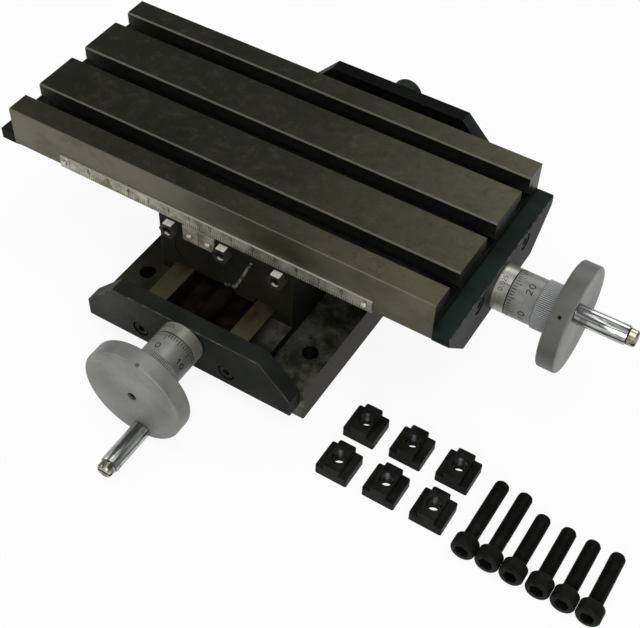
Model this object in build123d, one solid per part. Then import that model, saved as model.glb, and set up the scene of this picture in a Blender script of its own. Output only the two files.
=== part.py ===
from build123d import *
import os
from math import atan, cos, radians, sin, tan

# A small cross slide table, in millimetres. A base casting with dovetail ways carries a saddle that
# slides along Y, and the saddle carries a table with three T-slots that slides along X. Each slide is
# moved by a leadscrew with a dial and a handwheel. Six T-nuts and six clamp screws lie beside it.
# The origin is the middle of the base casting's foot. +X points to the table's handwheel, the saddle's
# handwheel is on the -Y side, and +Z is up. Both slides stand off centre, as they were left.

# Fits
slide_gap = 0.05
shaft_gap = 0.05
seat_gap = 0.02
end_gap = 0.1
edge = 0.4

# Base casting
base_width = 98.0
base_length = 163.0
flange_height = 17.8
strip_height = 4.7
way_height = 6.5
way_width = 48.8
way_angle = 60.0
way_shift = -2.5
channel_width = 30.8
channel_depth = 11.2
base_hole = 7.0
base_hole_ring = 8.2
base_hole_ring_depth = 0.25
base_hole_spacing_x = 81.0
base_hole_spacing_y = 126.4

# Saddle
saddle_width = 64.0
saddle_height = 31.85
saddle_shift = -14.6
relief = 0.5
gib_thickness = 4.0
keel_width = 28.6
keel_depth = 0.9
lip_depth = 3.1
lip_length = 6.0
lip_width = 13.0
screw_room = 1.2
rib_width = 1.2
rib_height = 0.7
rib_foot = (-0.1, 24.4)
rib_knee = (5.3, 22.9)
rib_head = (13.3, 4.4)
spot_diameter = 18.0
spot_depth = 0.3
spot_shift = -15.7
spot_drop = 15.35

# Table
table_length = 198.0
table_width = 90.0
table_thickness = 18.6
table_shift = -9.2
tail_width = 62.0
tail_height = 10.5
tail_angle = 60.0
screw_groove_width = 16.0
screw_groove_depth = 9.5
slot_count = 3
slot_spacing = 30.0
slot_neck = 8.0
slot_neck_depth = 5.6
slot_tee = 14.5
slot_tee_height = 5.5
slot_chamfer = 0.6

# Brackets that close the ends of the two slides
bracket_thickness = 7.5
y_bracket_rise = 3.2
y_bracket_height = 23.2
y_bracket_width = 99.2
y_bracket_top_width = 70.6
y_bracket_side = 8.6
x_bracket_lap = 4.9
x_bracket_height = 21.0
x_bracket_side = 5.0
x_bracket_foot_width = 60.0
bracket_screw_height = 7.0
y_bracket_screw_spacing = 42.0
y_bracket_screw_shift = -1.4
x_bracket_screw_drop = 0.4
x_bracket_screw_spacing = 40.0
pad_diameter = 18.0
pad_height = 0.8
boss_diameter = 15.0
boss_length = 7.0
boss_rounding = 2.0

# Leadscrews, with their heights below the table's underside and below the tops of the ways
screw_diameter = 8.0
journal_diameter = 6.0
x_screw_drop = 7.7
y_screw_drop = 4.7
thrust_diameter = 12.8
thrust_length = 3.0
thrust_room = 0.1

# Index collars, dials and handwheels, measured outwards from the collar's seat
collar_diameter = 19.2
collar_length = 5.8
spigot_diameter = 15.4
dial_length = 11.0
dial_bevel = 0.3
knurl_diameter = 20.4
knurl_length = 7.8
hub_diameter = 14.0
neck_diameter = 17.0
neck_length = 0.6
wheel_diameter = 44.6
wheel_width = 8.2
wheel_rounding = 1.1
wheel_dish = 0.5
wheel_dish_diameter = 38.0
wheel_face_wall = 1.6
wheel_face_hole = 4.0
grip_radius = 18.2
grip_diameter = 7.8
grip_length = 20.4
grip_bolt_diameter = 4.8
grip_head_diameter = 6.6
grip_head_length = 3.4
grip_slot_width = 1.0
grip_slot_depth = 1.3
x_grip_angle = 124.5
x_rim_hole_angle = 137.0
y_grip_angle = -80.0
y_rim_hole_angle = -100.0

# M4 screws: bracket, gib and nut screws
m4 = 4.0
m4_head = 7.0
m4_head_height = 4.0
m4_key = 3.0
m4_key_depth = 2.0
set_key = 2.0
counterbore = 7.6
counterbore_spare = 0.4
bracket_screw_length = 14.0
lock_nut_flats = 7.0
lock_nut_height = 3.2
gib_screw_sink = 1.0
gib_point = 2.6
gib_dimple = 1.0
gib_screw_count = 3
x_gib_screw_spacing = 25.7
x_gib_screw_shift = 0.0
x_gib_screw_rise = 4.6
y_gib_screw_spacing = 30.0
y_gib_screw_rise = 3.4

# Grub screw of each handwheel, and the centre hole in the end of each shaft
grub = 2.0
grub_length = 8.0
grub_set_back = 4.3
grub_key = 0.9
grub_key_depth = 1.0
centre_hole = 3.0
centre_hole_depth = 4.0

# Nuts of the leadscrews, carried by the saddle
x_nut_length = 24.0
x_nut_depth = 5.0
x_nut_side_room = 0.35
x_nut_top_room = 1.0
x_nut_screw_spacing = 13.0
x_nut_screw_length = 8.0
y_nut_length = 18.0
y_nut_set_back = 10.0
y_nut_floor_gap = 0.6
y_nut_screw_spacing = 19.6
y_nut_screw_length = 16.0

# Rule on the table's edge and pointer plate on the saddle's face
plate_thickness = 0.8
rule_length = 148.0
rule_height = 5.6
rule_rivet_insets = (1.9, 3.4)
pointer_width = 15.2
pointer_height = 8.0
pointer_shift = -11.9
pointer_drop = 0.8
pointer_rivet_inset = 3.1
pointer_rivet_drop = 4.8
rivet_head = 3.0
rivet_head_height = 0.9
rivet_shank = 1.6
rivet_length = 4.0

# T-nuts and clamp screws, which stand and lie beside the table on the plane of the foot
tee_width = 14.0
tee_length = 13.6
tee_rounding = 0.8
tee_height = 4.4
tongue_width = 7.4
tongue_height = 3.4
m6 = 6.0
m6_head = 9.7
m6_head_height = 6.0
m6_key = 5.0
m6_key_depth = 3.0
tee_countersink = 0.3
long_screw = 30.0
short_screw = 25.0
tee_columns = 3
tee_rows = 2
tee_pitch_x = 20.4
tee_pitch_y = 20.8
tee_nuts_x = 93.4
tee_nuts_y = -82.3
tee_column_strays = (-0.8, 0.0, 0.1)
screw_heads_y = -104.0
screws_x = 131.3
screw_pitch = 9.9
screw_strays = (0.0, -0.1, -0.2, 0.4, 0.3, 0.2)
long_screw_count = 2
short_screw_count = 4

# Levels and places that follow from the sizes above
strip_top = flange_height + strip_height
way_top = strip_top + way_height
channel_floor = way_top - channel_depth
saddle_bottom = strip_top + slide_gap
saddle_top = strip_top + saddle_height
web_bottom = way_top + relief
keel_bottom = web_bottom - keel_depth
table_bottom = saddle_top + slide_gap
table_top_level = table_bottom + table_thickness
tail_bottom = table_bottom - tail_height
recess_floor = tail_bottom - relief
x_screw_level = table_bottom - x_screw_drop
y_screw_level = way_top - y_screw_drop
saddle_length = table_width
saddle_front = saddle_shift - saddle_length / 2
saddle_left = way_shift - saddle_width / 2
table_right = table_shift + table_length / 2
table_left = table_shift - table_length / 2
table_front = saddle_shift - table_width / 2
slot_floor = table_top_level - slot_neck_depth - slot_tee_height
x_gib_screw_level = tail_bottom + x_gib_screw_rise
y_gib_screw_level = strip_top + y_gib_screw_rise
screw_radius = screw_diameter / 2
screw_bore = screw_radius + shaft_gap
dial_start = collar_length + end_gap
dial_end = dial_start + dial_length + knurl_length
wheel_start = dial_end + end_gap + neck_length
wheel_end = wheel_start + wheel_width
shaft_end = wheel_end - wheel_face_wall
grub_level = wheel_end - grub_set_back


def block(x_range, y_range, z_range):
    """A box between two values on each axis."""
    sizes = [high - low for low, high in (x_range, y_range, z_range)]
    middle = [(high + low) / 2 for low, high in (x_range, y_range, z_range)]
    return Pos(*middle) * Box(*sizes)


def prism_along_y(points, middle, length):
    """An outline of (x, z) points, drawn out along Y."""
    plane = Plane(origin=(0, middle, 0), x_dir=(1, 0, 0), z_dir=(0, -1, 0))
    return extrude(plane * make_face(Polyline(*points, close=True)), length / 2, both=True)


def prism_along_x(points, middle, length):
    """An outline of (y, z) points, drawn out along X."""
    plane = Plane(origin=(middle, 0, 0), x_dir=(0, 1, 0), z_dir=(1, 0, 0))
    return extrude(plane * make_face(Polyline(*points, close=True)), length / 2, both=True)


def rod(start, direction, radius, length):
    """A cylinder from a point along a direction."""
    place = Plane(origin=start, z_dir=direction)
    return place * Cylinder(radius, length, align=(Align.CENTER, Align.CENTER, Align.MIN))


def turned(points):
    """A turned piece about Z from (radius, height) points."""
    return revolve(make_face(Plane.XZ * Polyline(*points, close=True)), Axis.Z)


def hexagon(flats, height):
    """A six-sided prism that stands on the XY plane."""
    return extrude(RegularPolygon(flats / 2, 6, major_radius=False), height)


def socket_screw(size, length, head, head_height, key, key_depth):
    """A socket head screw: its shank points down from the origin and its head stands on it."""
    screw = Pos(0, 0, -length) * Cylinder(size / 2, length, align=(Align.CENTER, Align.CENTER, Align.MIN))
    screw += Cylinder(head / 2, head_height, align=(Align.CENTER, Align.CENTER, Align.MIN))
    screw = chamfer(screw.edges().filter_by(GeomType.CIRCLE).sort_by(Axis.Z)[-1], edge)
    return screw - Pos(0, 0, head_height - key_depth) * hexagon(key, key_depth)


def bracket_screw():
    """An M4 socket head screw that holds a bracket."""
    return socket_screw(m4, bracket_screw_length, m4_head, m4_head_height, m4_key, m4_key_depth)


def screw_hole(start, direction, length):
    """The room that an M4 screw's shank takes in what it holds or is held by."""
    return rod(start, direction, m4 / 2 + seat_gap, length)


def rivet():
    """A round-headed drive rivet: its shank points down from the origin."""
    sphere_radius = (rivet_head ** 2 / 4 + rivet_head_height ** 2) / (2 * rivet_head_height)
    head = Pos(0, 0, rivet_head_height - sphere_radius) * Sphere(sphere_radius)
    head = head & block((-rivet_head, rivet_head), (-rivet_head, rivet_head), (0, rivet_head))
    shank_length = rivet_length + plate_thickness
    return head + rod((0, 0, 0), (0, 0, -1), rivet_shank / 2, shank_length)


def flank(height, angle):
    """How far a dovetail's flank leans over a height."""
    return height / tan(radians(angle))


# Places of the two screw lines: local +Z runs out to the handwheel from the index collar's seat

x_line = Plane(
    origin=(table_right + bracket_thickness, saddle_shift, x_screw_level), x_dir=(0, 1, 0), z_dir=(1, 0, 0)
)
y_line = Plane(
    origin=(way_shift, -base_length / 2 - bracket_thickness - pad_height, y_screw_level),
    x_dir=(1, 0, 0),
    z_dir=(0, -1, 0),
)
x_span = table_length + 2 * bracket_thickness
y_span = base_length + 2 * bracket_thickness + pad_height


def way_outline(offset_left, offset_right, low, high):
    """The dovetail of the ways as (x, z) points, grown sideways on each flank."""
    half = way_width / 2
    low_half = half - flank(way_top - low, way_angle)
    high_half = half - flank(way_top - high, way_angle)
    return [
        (way_shift - low_half - offset_left, low),
        (way_shift + low_half + offset_right, low),
        (way_shift + high_half + offset_right, high),
        (way_shift - high_half - offset_left, high),
    ]


def tail_outline(offset_front, offset_back, low, high):
    """The dovetail under the table as (y, z) points, grown sideways on each flank."""
    low_half = tail_width / 2 - flank(low - tail_bottom, tail_angle)
    high_half = tail_width / 2 - flank(high - tail_bottom, tail_angle)
    return [
        (saddle_shift - low_half - offset_front, low),
        (saddle_shift + low_half + offset_back, low),
        (saddle_shift + high_half + offset_back, high),
        (saddle_shift - high_half - offset_front, high),
    ]


way_slide_gap = slide_gap / sin(radians(way_angle))
way_gib_room = (gib_thickness + 2 * slide_gap) / sin(radians(way_angle))
tail_slide_gap = slide_gap / sin(radians(tail_angle))
tail_gib_room = (gib_thickness + 2 * slide_gap) / sin(radians(tail_angle))


# Base

def base_hole_places():
    """The four holes that bolt the base down."""
    half_x = base_hole_spacing_x / 2
    half_y = base_hole_spacing_y / 2
    return [(x, y) for x in (-half_x, half_x) for y in (-half_y, half_y)]


def y_bracket_screw_places():
    """The (x, z) places of the screws in each bracket of the base."""
    middle = way_shift + y_bracket_screw_shift
    level = way_top + y_bracket_rise - y_bracket_height + bracket_screw_height
    return [(middle + side * y_bracket_screw_spacing / 2, level) for side in (-1, 1)]


def make_base_casting():
    """The flange with its ground strips, the dovetail ways and the channel between them."""
    half_length = base_length / 2
    body = block((-base_width / 2, base_width / 2), (-half_length, half_length), (0, flange_height))
    body = chamfer(body.edges().filter_by(Axis.Z), edge)
    strips = (way_shift - saddle_width / 2, way_shift + saddle_width / 2)
    body += block(strips, (-half_length, half_length), (flange_height, strip_top))
    body += prism_along_y(way_outline(0, 0, strip_top, way_top), 0, base_length)
    channel = (way_shift - channel_width / 2, way_shift + channel_width / 2)
    body -= block(channel, (-half_length, half_length), (channel_floor, way_top))
    for x, y in base_hole_places():
        body -= rod((x, y, 0), (0, 0, 1), base_hole / 2, flange_height)
        ring_floor = flange_height - base_hole_ring_depth
        body -= rod((x, y, ring_floor), (0, 0, 1), base_hole_ring / 2, base_hole_ring_depth)
    depth = bracket_screw_length - bracket_thickness + m4_head_height + 2 * counterbore_spare
    for x, z in y_bracket_screw_places():
        body -= screw_hole((x, -half_length, z), (0, 1, 0), depth)
        body -= screw_hole((x, half_length, z), (0, -1, 0), depth)
    return body


def y_bracket_blank(middle):
    """The plate with sloped shoulders that closes one end of the ways."""
    top = way_top + y_bracket_rise
    foot = top - y_bracket_height
    shoulder = foot + y_bracket_side
    half_foot = y_bracket_width / 2
    half_top = y_bracket_top_width / 2
    right = [(half_foot, foot), (half_foot, shoulder), (half_top, top)]
    left = [(-x, z) for x, z in reversed(right)]
    points = [(way_shift + x, z) for x, z in right + left]
    return prism_along_y(points, middle, bracket_thickness)


def bracket_screw_room(start, inward):
    """The counterbored hole of a bracket screw, cut from a bracket's outer face."""
    depth = m4_head_height + counterbore_spare
    return rod(start, inward, counterbore / 2, depth) + screw_hole(start, inward, bracket_thickness)


def make_front_bracket():
    """The front bracket: it carries the index collar on a round pad and takes the screw's thrust."""
    outer = -base_length / 2 - bracket_thickness
    bracket = y_bracket_blank(outer + bracket_thickness / 2)
    bracket = chamfer(bracket.faces().sort_by(Axis.Y)[0].edges(), edge)
    pad = y_bracket_blank(outer - pad_height / 2) & rod(
        (way_shift, outer, y_screw_level), (0, -1, 0), pad_diameter / 2, pad_height
    )
    bracket += pad
    bracket -= y_line * collar_socket(bracket_thickness + pad_height)
    for x, z in y_bracket_screw_places():
        bracket -= bracket_screw_room((x, outer, z), (0, 1, 0))
    return bracket


def collar_socket(thickness):
    """The shaft's bore and the seat of the collar's spigot, below the seat in a screw line's place."""
    seat = Pos(0, 0, -thrust_length) * Cylinder(
        spigot_diameter / 2 + seat_gap, thrust_length, align=(Align.CENTER, Align.CENTER, Align.MIN)
    )
    bore = Pos(0, 0, -thickness) * Cylinder(
        screw_bore, thickness, align=(Align.CENTER, Align.CENTER, Align.MIN)
    )
    return seat + bore


def far_boss(start, outward):
    """The blind boss that covers the far end of a leadscrew."""
    boss = rod(start, outward, boss_diameter / 2, boss_length)
    rim = boss.edges().filter_by(GeomType.CIRCLE).sort_by(Axis((0, 0, 0), outward))[-1]
    return fillet(rim, boss_rounding)


def journal_room(start, outward):
    """The blind bore that the far journal of a leadscrew turns in."""
    return rod(start, outward, journal_diameter / 2 + shaft_gap, bracket_thickness + boss_length / 2)


def make_rear_bracket():
    """The rear bracket, with the boss that the screw's far journal turns in."""
    inner = base_length / 2
    outer = inner + bracket_thickness
    bracket = y_bracket_blank(inner + bracket_thickness / 2)
    bracket = chamfer(bracket.faces().sort_by(Axis.Y)[-1].edges(), edge)
    bracket += far_boss((way_shift, outer, y_screw_level), (0, 1, 0))
    bracket -= journal_room((way_shift, inner, y_screw_level), (0, 1, 0))
    for x, z in y_bracket_screw_places():
        bracket -= bracket_screw_room((x, outer, z), (0, -1, 0))
    return bracket


def make_y_bracket_screws():
    """Two screws in each bracket of the base."""
    seat = base_length / 2 + bracket_thickness - m4_head_height - counterbore_spare
    screws = []
    for x, z in y_bracket_screw_places():
        screws.append(Plane(origin=(x, -seat, z), z_dir=(0, -1, 0)) * bracket_screw())
        screws.append(Plane(origin=(x, seat, z), z_dir=(0, 1, 0)) * bracket_screw())
    return Compound(screws)


# Table

def slot_room():
    """The room of one T-slot along the table, about the table's middle line in Y."""
    half_neck = slot_neck / 2
    half_tee = slot_tee / 2
    tee_top = slot_floor + slot_tee_height
    right = [
        (half_tee, slot_floor),
        (half_tee, tee_top),
        (half_neck, tee_top),
        (half_neck, table_top_level - slot_chamfer),
        (half_neck + slot_chamfer, table_top_level),
    ]
    points = right + [(-y, z) for y, z in reversed(right)]
    return prism_along_x(points, table_shift, table_length)


def x_bracket_screw_places():
    """The (y, z) places of the screws in each bracket of the table."""
    level = table_bottom - x_bracket_screw_drop
    return [(saddle_shift + side * x_bracket_screw_spacing / 2, level) for side in (-1, 1)]


def make_table_top():
    """The table plate with its T-slots, and the dovetail under it with a groove for the screw."""
    half_width = table_width / 2
    body = block(
        (table_left, table_right),
        (saddle_shift - half_width, saddle_shift + half_width),
        (table_bottom, table_top_level),
    )
    body = chamfer(body.edges().filter_by(Axis.X), edge)
    body += prism_along_x(tail_outline(0, 0, tail_bottom, table_bottom), table_shift, table_length)
    groove = (saddle_shift - screw_groove_width / 2, saddle_shift + screw_groove_width / 2)
    body -= block((table_left, table_right), groove, (tail_bottom, tail_bottom + screw_groove_depth))
    first = -(slot_count - 1) * slot_spacing / 2
    for index in range(slot_count):
        body -= Pos(0, saddle_shift + first + index * slot_spacing, 0) * slot_room()
    depth = bracket_screw_length - bracket_thickness + m4_head_height + 2 * counterbore_spare
    for y, z in x_bracket_screw_places():
        body -= screw_hole((table_left, y, z), (1, 0, 0), depth)
        body -= screw_hole((table_right, y, z), (-1, 0, 0), depth)
    for x in rule_rivet_places():
        body -= rivet_room((x, table_front, rule_middle), (0, 1, 0))
    return body


def x_bracket_blank(middle):
    """The plate with cut corners that closes one end of the table."""
    top = table_bottom + x_bracket_lap
    foot = top - x_bracket_height
    side = top - x_bracket_side
    half_top = table_width / 2
    half_foot = x_bracket_foot_width / 2
    right = [(half_foot, foot), (half_top, side), (half_top, top)]
    left = [(-y, z) for y, z in reversed(right)]
    points = [(saddle_shift + y, z) for y, z in right + left]
    return prism_along_x(points, middle, bracket_thickness)


def make_right_bracket():
    """The table's right bracket: it carries the index collar and takes the screw's thrust."""
    outer = table_right + bracket_thickness
    bracket = x_bracket_blank(table_right + bracket_thickness / 2)
    bracket = chamfer(bracket.faces().sort_by(Axis.X)[-1].edges(), edge)
    bracket -= x_line * collar_socket(bracket_thickness)
    for y, z in x_bracket_screw_places():
        bracket -= bracket_screw_room((outer, y, z), (-1, 0, 0))
    return bracket


def make_left_bracket():
    """The table's left bracket, with the boss that the screw's far journal turns in."""
    outer = table_left - bracket_thickness
    bracket = x_bracket_blank(table_left - bracket_thickness / 2)
    bracket = chamfer(bracket.faces().sort_by(Axis.X)[0].edges(), edge)
    bracket += far_boss((outer, saddle_shift, x_screw_level), (-1, 0, 0))
    bracket -= journal_room((table_left, saddle_shift, x_screw_level), (-1, 0, 0))
    for y, z in x_bracket_screw_places():
        bracket -= bracket_screw_room((outer, y, z), (1, 0, 0))
    return bracket


def make_x_bracket_screws():
    """Two screws in each bracket of the table."""
    sink = bracket_thickness - m4_head_height - counterbore_spare
    screws = []
    for y, z in x_bracket_screw_places():
        screws.append(Plane(origin=(table_left - sink, y, z), z_dir=(-1, 0, 0)) * bracket_screw())
        screws.append(Plane(origin=(table_right + sink, y, z), z_dir=(1, 0, 0)) * bracket_screw())
    return Compound(screws)


# Rule and pointer plate

rule_middle = table_bottom + rule_height / 2
pointer_x = way_shift + pointer_shift
pointer_top = saddle_top - pointer_drop
pointer_rivet_level = pointer_top - pointer_rivet_drop


def rule_rivet_places():
    """The X places of the rule's two rivets."""
    left, right = rule_rivet_insets
    return [table_shift - rule_length / 2 + left, table_shift + rule_length / 2 - right]


def pointer_rivet_places():
    """The X places of the pointer plate's two rivets."""
    reach = pointer_width / 2 - pointer_rivet_inset
    return [pointer_x - reach, pointer_x + reach]


def rivet_room(start, inward):
    """The hole that a rivet's shank is driven into."""
    return rod(start, inward, rivet_shank / 2 + seat_gap, rivet_length + edge)


def riveted_plate(middle_x, face_y, low, high, width, rivet_places, rivet_level):
    """A thin plate on a front face, with its rivet holes."""
    front_y = face_y - plate_thickness
    plate = block((middle_x - width / 2, middle_x + width / 2), (front_y, face_y), (low, high))
    for x in rivet_places:
        start = (x, front_y, rivet_level)
        plate -= rod(start, (0, 1, 0), rivet_shank / 2 + seat_gap, plate_thickness)
    return plate


def make_rule():
    """The rule along the table's front edge."""
    low = table_bottom
    high = low + rule_height
    return riveted_plate(table_shift, table_front, low, high, rule_length, rule_rivet_places(), rule_middle)


def make_pointer_plate():
    """The plate on the saddle's face that the rule is read against."""
    low = pointer_top - pointer_height
    places = pointer_rivet_places()
    return riveted_plate(
        pointer_x, saddle_front, low, pointer_top, pointer_width, places, pointer_rivet_level
    )


def make_rivets(places, face_y, level):
    """A pair of rivets that hold a plate to a front face."""
    heads_y = face_y - plate_thickness
    return Compound([Plane(origin=(x, heads_y, level), z_dir=(0, -1, 0)) * rivet() for x in places])


# Saddle

def x_gib_screw_places():
    """The X places of the gib screws in the saddle's front face."""
    first = way_shift + x_gib_screw_shift - (gib_screw_count - 1) * x_gib_screw_spacing / 2
    return [first + index * x_gib_screw_spacing for index in range(gib_screw_count)]


def y_gib_screw_places():
    """The Y places of the gib screws in the saddle's left face."""
    first = saddle_shift - (gib_screw_count - 1) * y_gib_screw_spacing / 2
    return [first + index * y_gib_screw_spacing for index in range(gib_screw_count)]


def gib_reach(outline_half, height, angle, screw_face):
    """The length of a gib screw, from its outer end to the floor of the gib's dimple."""
    gib_back = outline_half - flank(height, angle)
    wall = screw_face - gib_back
    return wall + lock_nut_height - gib_screw_sink + gib_dimple


x_gib_back = tail_width / 2 + tail_gib_room - tail_slide_gap
y_gib_back = way_width / 2 + way_gib_room - way_slide_gap
x_gib_screw_length = gib_reach(x_gib_back, x_gib_screw_rise, tail_angle, saddle_length / 2)
y_gib_screw_length = gib_reach(y_gib_back, way_height - y_gib_screw_rise, way_angle, saddle_width / 2)


def gib_screw(length):
    """A set screw with a dog point: its socket is at the origin and it points down."""
    shank = length - gib_dimple - gib_point / 2
    screw = rod((0, 0, 0), (0, 0, -1), m4 / 2, shank)
    screw += rod((0, 0, 0), (0, 0, -1), gib_point / 2, length)
    return screw - Pos(0, 0, -m4_key_depth) * hexagon(set_key, m4_key_depth)


def lock_nut():
    """A hexagon nut on a gib screw, flat side down on the origin."""
    nut = hexagon(lock_nut_flats, lock_nut_height)
    rounded = lock_nut_flats / 2 / cos(radians(30))
    cone = Cone(rounded + lock_nut_height, rounded - edge, lock_nut_height + edge)
    cone = Pos(0, 0, (lock_nut_height + edge) / 2 - edge / 2) * cone
    return (nut & cone) - rod((0, 0, 0), (0, 0, 1), m4 / 2 + seat_gap, lock_nut_height)


def x_gib_line(x):
    """The place of one X gib screw's outer end, with local +Z out of the saddle's front."""
    outer = saddle_front - lock_nut_height + gib_screw_sink
    return Plane(origin=(x, outer, x_gib_screw_level), x_dir=(1, 0, 0), z_dir=(0, -1, 0))


def y_gib_line(y):
    """The place of one Y gib screw's outer end, with local +Z out of the saddle's left side."""
    outer = saddle_left - lock_nut_height + gib_screw_sink
    return Plane(origin=(outer, y, y_gib_screw_level), x_dir=(0, 1, 0), z_dir=(-1, 0, 0))


def make_x_gib():
    """The strip between the saddle's front flank and the table's dovetail, with the screws' dimples."""
    low = recess_floor + slide_gap
    high = saddle_top - slide_gap
    near = tail_outline(tail_slide_gap, 0, low, high)
    far = tail_outline(tail_gib_room - tail_slide_gap, 0, low, high)
    gib = prism_along_x([near[0], near[3], far[3], far[0]], way_shift, saddle_width)
    for x in x_gib_screw_places():
        gib -= x_gib_line(x) * rod((0, 0, 0), (0, 0, -1), gib_point / 2 + seat_gap, x_gib_screw_length)
    return gib


def make_y_gib():
    """The strip between the saddle's left flank and the ways, with the screws' dimples."""
    low = saddle_bottom + slide_gap
    high = web_bottom - slide_gap
    near = way_outline(way_slide_gap, 0, low, high)
    far = way_outline(way_gib_room - way_slide_gap, 0, low, high)
    gib = prism_along_y([near[0], near[3], far[3], far[0]], saddle_shift, saddle_length)
    for y in y_gib_screw_places():
        gib -= y_gib_line(y) * rod((0, 0, 0), (0, 0, -1), gib_point / 2 + seat_gap, y_gib_screw_length)
    return gib


def make_gib_screws(lines, length):
    """The set screws that press on a gib."""
    return Compound([line * gib_screw(length) for line in lines])


def make_lock_nuts(lines):
    """The nuts that lock the gib screws against the saddle."""
    depth = lock_nut_height - gib_screw_sink
    return Compound([line * (Pos(0, 0, -depth) * lock_nut()) for line in lines])


def x_nut_screw_places():
    """The X places of the two screws that hold the table screw's nut from below."""
    return [way_shift + side * x_nut_screw_spacing / 2 for side in (-1, 1)]


def y_nut_screw_places():
    """The X places of the two screws that hold the saddle screw's nut from above."""
    return [way_shift + side * y_nut_screw_spacing / 2 for side in (-1, 1)]


y_nut_front = saddle_front + y_nut_set_back
y_nut_middle = y_nut_front + y_nut_length / 2
x_nut_floor = recess_floor - relief - x_nut_depth - relief
groove_floor = x_screw_level - screw_radius - screw_room
x_nut_screw_seat = keel_bottom + m4_head_height + counterbore_spare
y_nut_screw_seat = recess_floor - m4_head_height - counterbore_spare


def rib_run(start, end):
    """One straight run of the cast rib, as a slab that stands on the saddle's front face."""
    line = Vector(*end) - Vector(*start)
    side = Vector(-line.Y, line.X).normalized() * (rib_width / 2)
    corners = [Vector(*start) + side, Vector(*end) + side, Vector(*end) - side, Vector(*start) - side]
    points = [(way_shift + corner.X, saddle_top - corner.Y) for corner in corners]
    return prism_along_y(points, saddle_front - rib_height / 2, rib_height)


def make_saddle_casting():
    """The block that rides on the ways, with a dovetail along Y below and one along X above."""
    half_length = saddle_length / 2
    sides = (saddle_left, way_shift + saddle_width / 2)
    length = (saddle_front, saddle_front + saddle_length)
    body = block(sides, length, (saddle_bottom, saddle_top))
    body = chamfer(body.edges().filter_by(Axis.Z), edge)
    way_room = way_outline(way_gib_room, way_slide_gap, saddle_bottom, web_bottom)
    body -= prism_along_y(way_room, saddle_shift, saddle_length)
    tail_room = tail_outline(tail_gib_room, tail_slide_gap, recess_floor, saddle_top)
    body -= prism_along_x(tail_room, way_shift, saddle_width)
    keel = (way_shift - keel_width / 2, way_shift + keel_width / 2)
    body += block(keel, length, (keel_bottom, web_bottom))
    lip_right = way_shift + keel_width / 2
    lip_back = saddle_front + lip_length
    lip_low = web_bottom - lip_depth
    body += block((lip_right - lip_width, lip_right), (saddle_front, lip_back), (lip_low, keel_bottom))
    body -= rod(
        (way_shift, saddle_front, y_screw_level), (0, 1, 0), screw_radius + screw_room, saddle_length
    )
    groove = (saddle_shift - screw_groove_width / 2, saddle_shift + screw_groove_width / 2)
    body -= block(sides, groove, (groove_floor, recess_floor))
    pocket = (way_shift - x_nut_length / 2 - seat_gap, way_shift + x_nut_length / 2 + seat_gap)
    body -= block(pocket, groove, (x_nut_floor, groove_floor))
    for x in x_nut_screw_places():
        sink = x_nut_screw_seat - keel_bottom
        body -= rod((x, saddle_shift, keel_bottom), (0, 0, 1), counterbore / 2, sink)
        body -= screw_hole((x, saddle_shift, keel_bottom), (0, 0, 1), x_nut_floor - keel_bottom)
    for x in y_nut_screw_places():
        sink = recess_floor - y_nut_screw_seat
        body -= rod((x, y_nut_middle, y_nut_screw_seat), (0, 0, 1), counterbore / 2, sink)
        body -= screw_hole((x, y_nut_middle, keel_bottom), (0, 0, 1), recess_floor - keel_bottom)
    for x in x_gib_screw_places():
        body -= x_gib_line(x) * screw_hole((0, 0, 0), (0, 0, -1), x_gib_screw_length)
    for y in y_gib_screw_places():
        body -= y_gib_line(y) * screw_hole((0, 0, 0), (0, 0, -1), y_gib_screw_length)
    for x in pointer_rivet_places():
        body -= rivet_room((x, saddle_front, pointer_rivet_level), (0, 1, 0))
    spot = (way_shift + spot_shift, saddle_front, saddle_top - spot_drop)
    body -= rod(spot, (0, 1, 0), spot_diameter / 2, spot_depth)
    return body + rib_run(rib_foot, rib_knee) + rib_run(rib_knee, rib_head)


def make_x_nut():
    """The nut of the table's screw: it sits in a pocket of the saddle and stands up in the groove."""
    top = tail_bottom + screw_groove_depth - x_nut_top_room
    half_width = screw_groove_width / 2 - x_nut_side_room
    sides = (way_shift - x_nut_length / 2, way_shift + x_nut_length / 2)
    nut = block(sides, (saddle_shift - half_width, saddle_shift + half_width), (x_nut_floor, top))
    nut -= rod((sides[0], saddle_shift, x_screw_level), (1, 0, 0), screw_bore, x_nut_length)
    depth = x_nut_screw_seat + x_nut_screw_length - x_nut_floor
    for x in x_nut_screw_places():
        nut -= screw_hole((x, saddle_shift, x_nut_floor), (0, 0, 1), depth)
    return nut


def make_y_nut():
    """The nut of the saddle's screw: it hangs from the saddle in the channel between the ways."""
    half_keel = keel_width / 2
    low = channel_floor + y_nut_floor_gap
    ends = (y_nut_front, y_nut_front + y_nut_length)
    nut = block((way_shift - half_keel, way_shift + half_keel), ends, (low, keel_bottom))
    nut -= rod((way_shift, y_nut_front, y_screw_level), (0, 1, 0), screw_bore, y_nut_length)
    depth = y_nut_screw_length - (y_nut_screw_seat - keel_bottom)
    for x in y_nut_screw_places():
        nut -= screw_hole((x, y_nut_middle, keel_bottom), (0, 0, -1), depth)
    return nut


def make_x_nut_screws():
    """The two screws that hold the table screw's nut, from below."""
    screws = []
    for x in x_nut_screw_places():
        place = Plane(origin=(x, saddle_shift, x_nut_screw_seat), z_dir=(0, 0, -1))
        screws.append(
            place * socket_screw(m4, x_nut_screw_length, m4_head, m4_head_height, m4_key, m4_key_depth)
        )
    return Compound(screws)


def make_y_nut_screws():
    """The two screws that hold the saddle screw's nut, from above."""
    screws = []
    for x in y_nut_screw_places():
        place = Pos(x, y_nut_middle, y_nut_screw_seat)
        screws.append(
            place * socket_screw(m4, y_nut_screw_length, m4_head, m4_head_height, m4_key, m4_key_depth)
        )
    return Compound(screws)


# Leadscrews, dials and handwheels, each in its screw line's place

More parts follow.
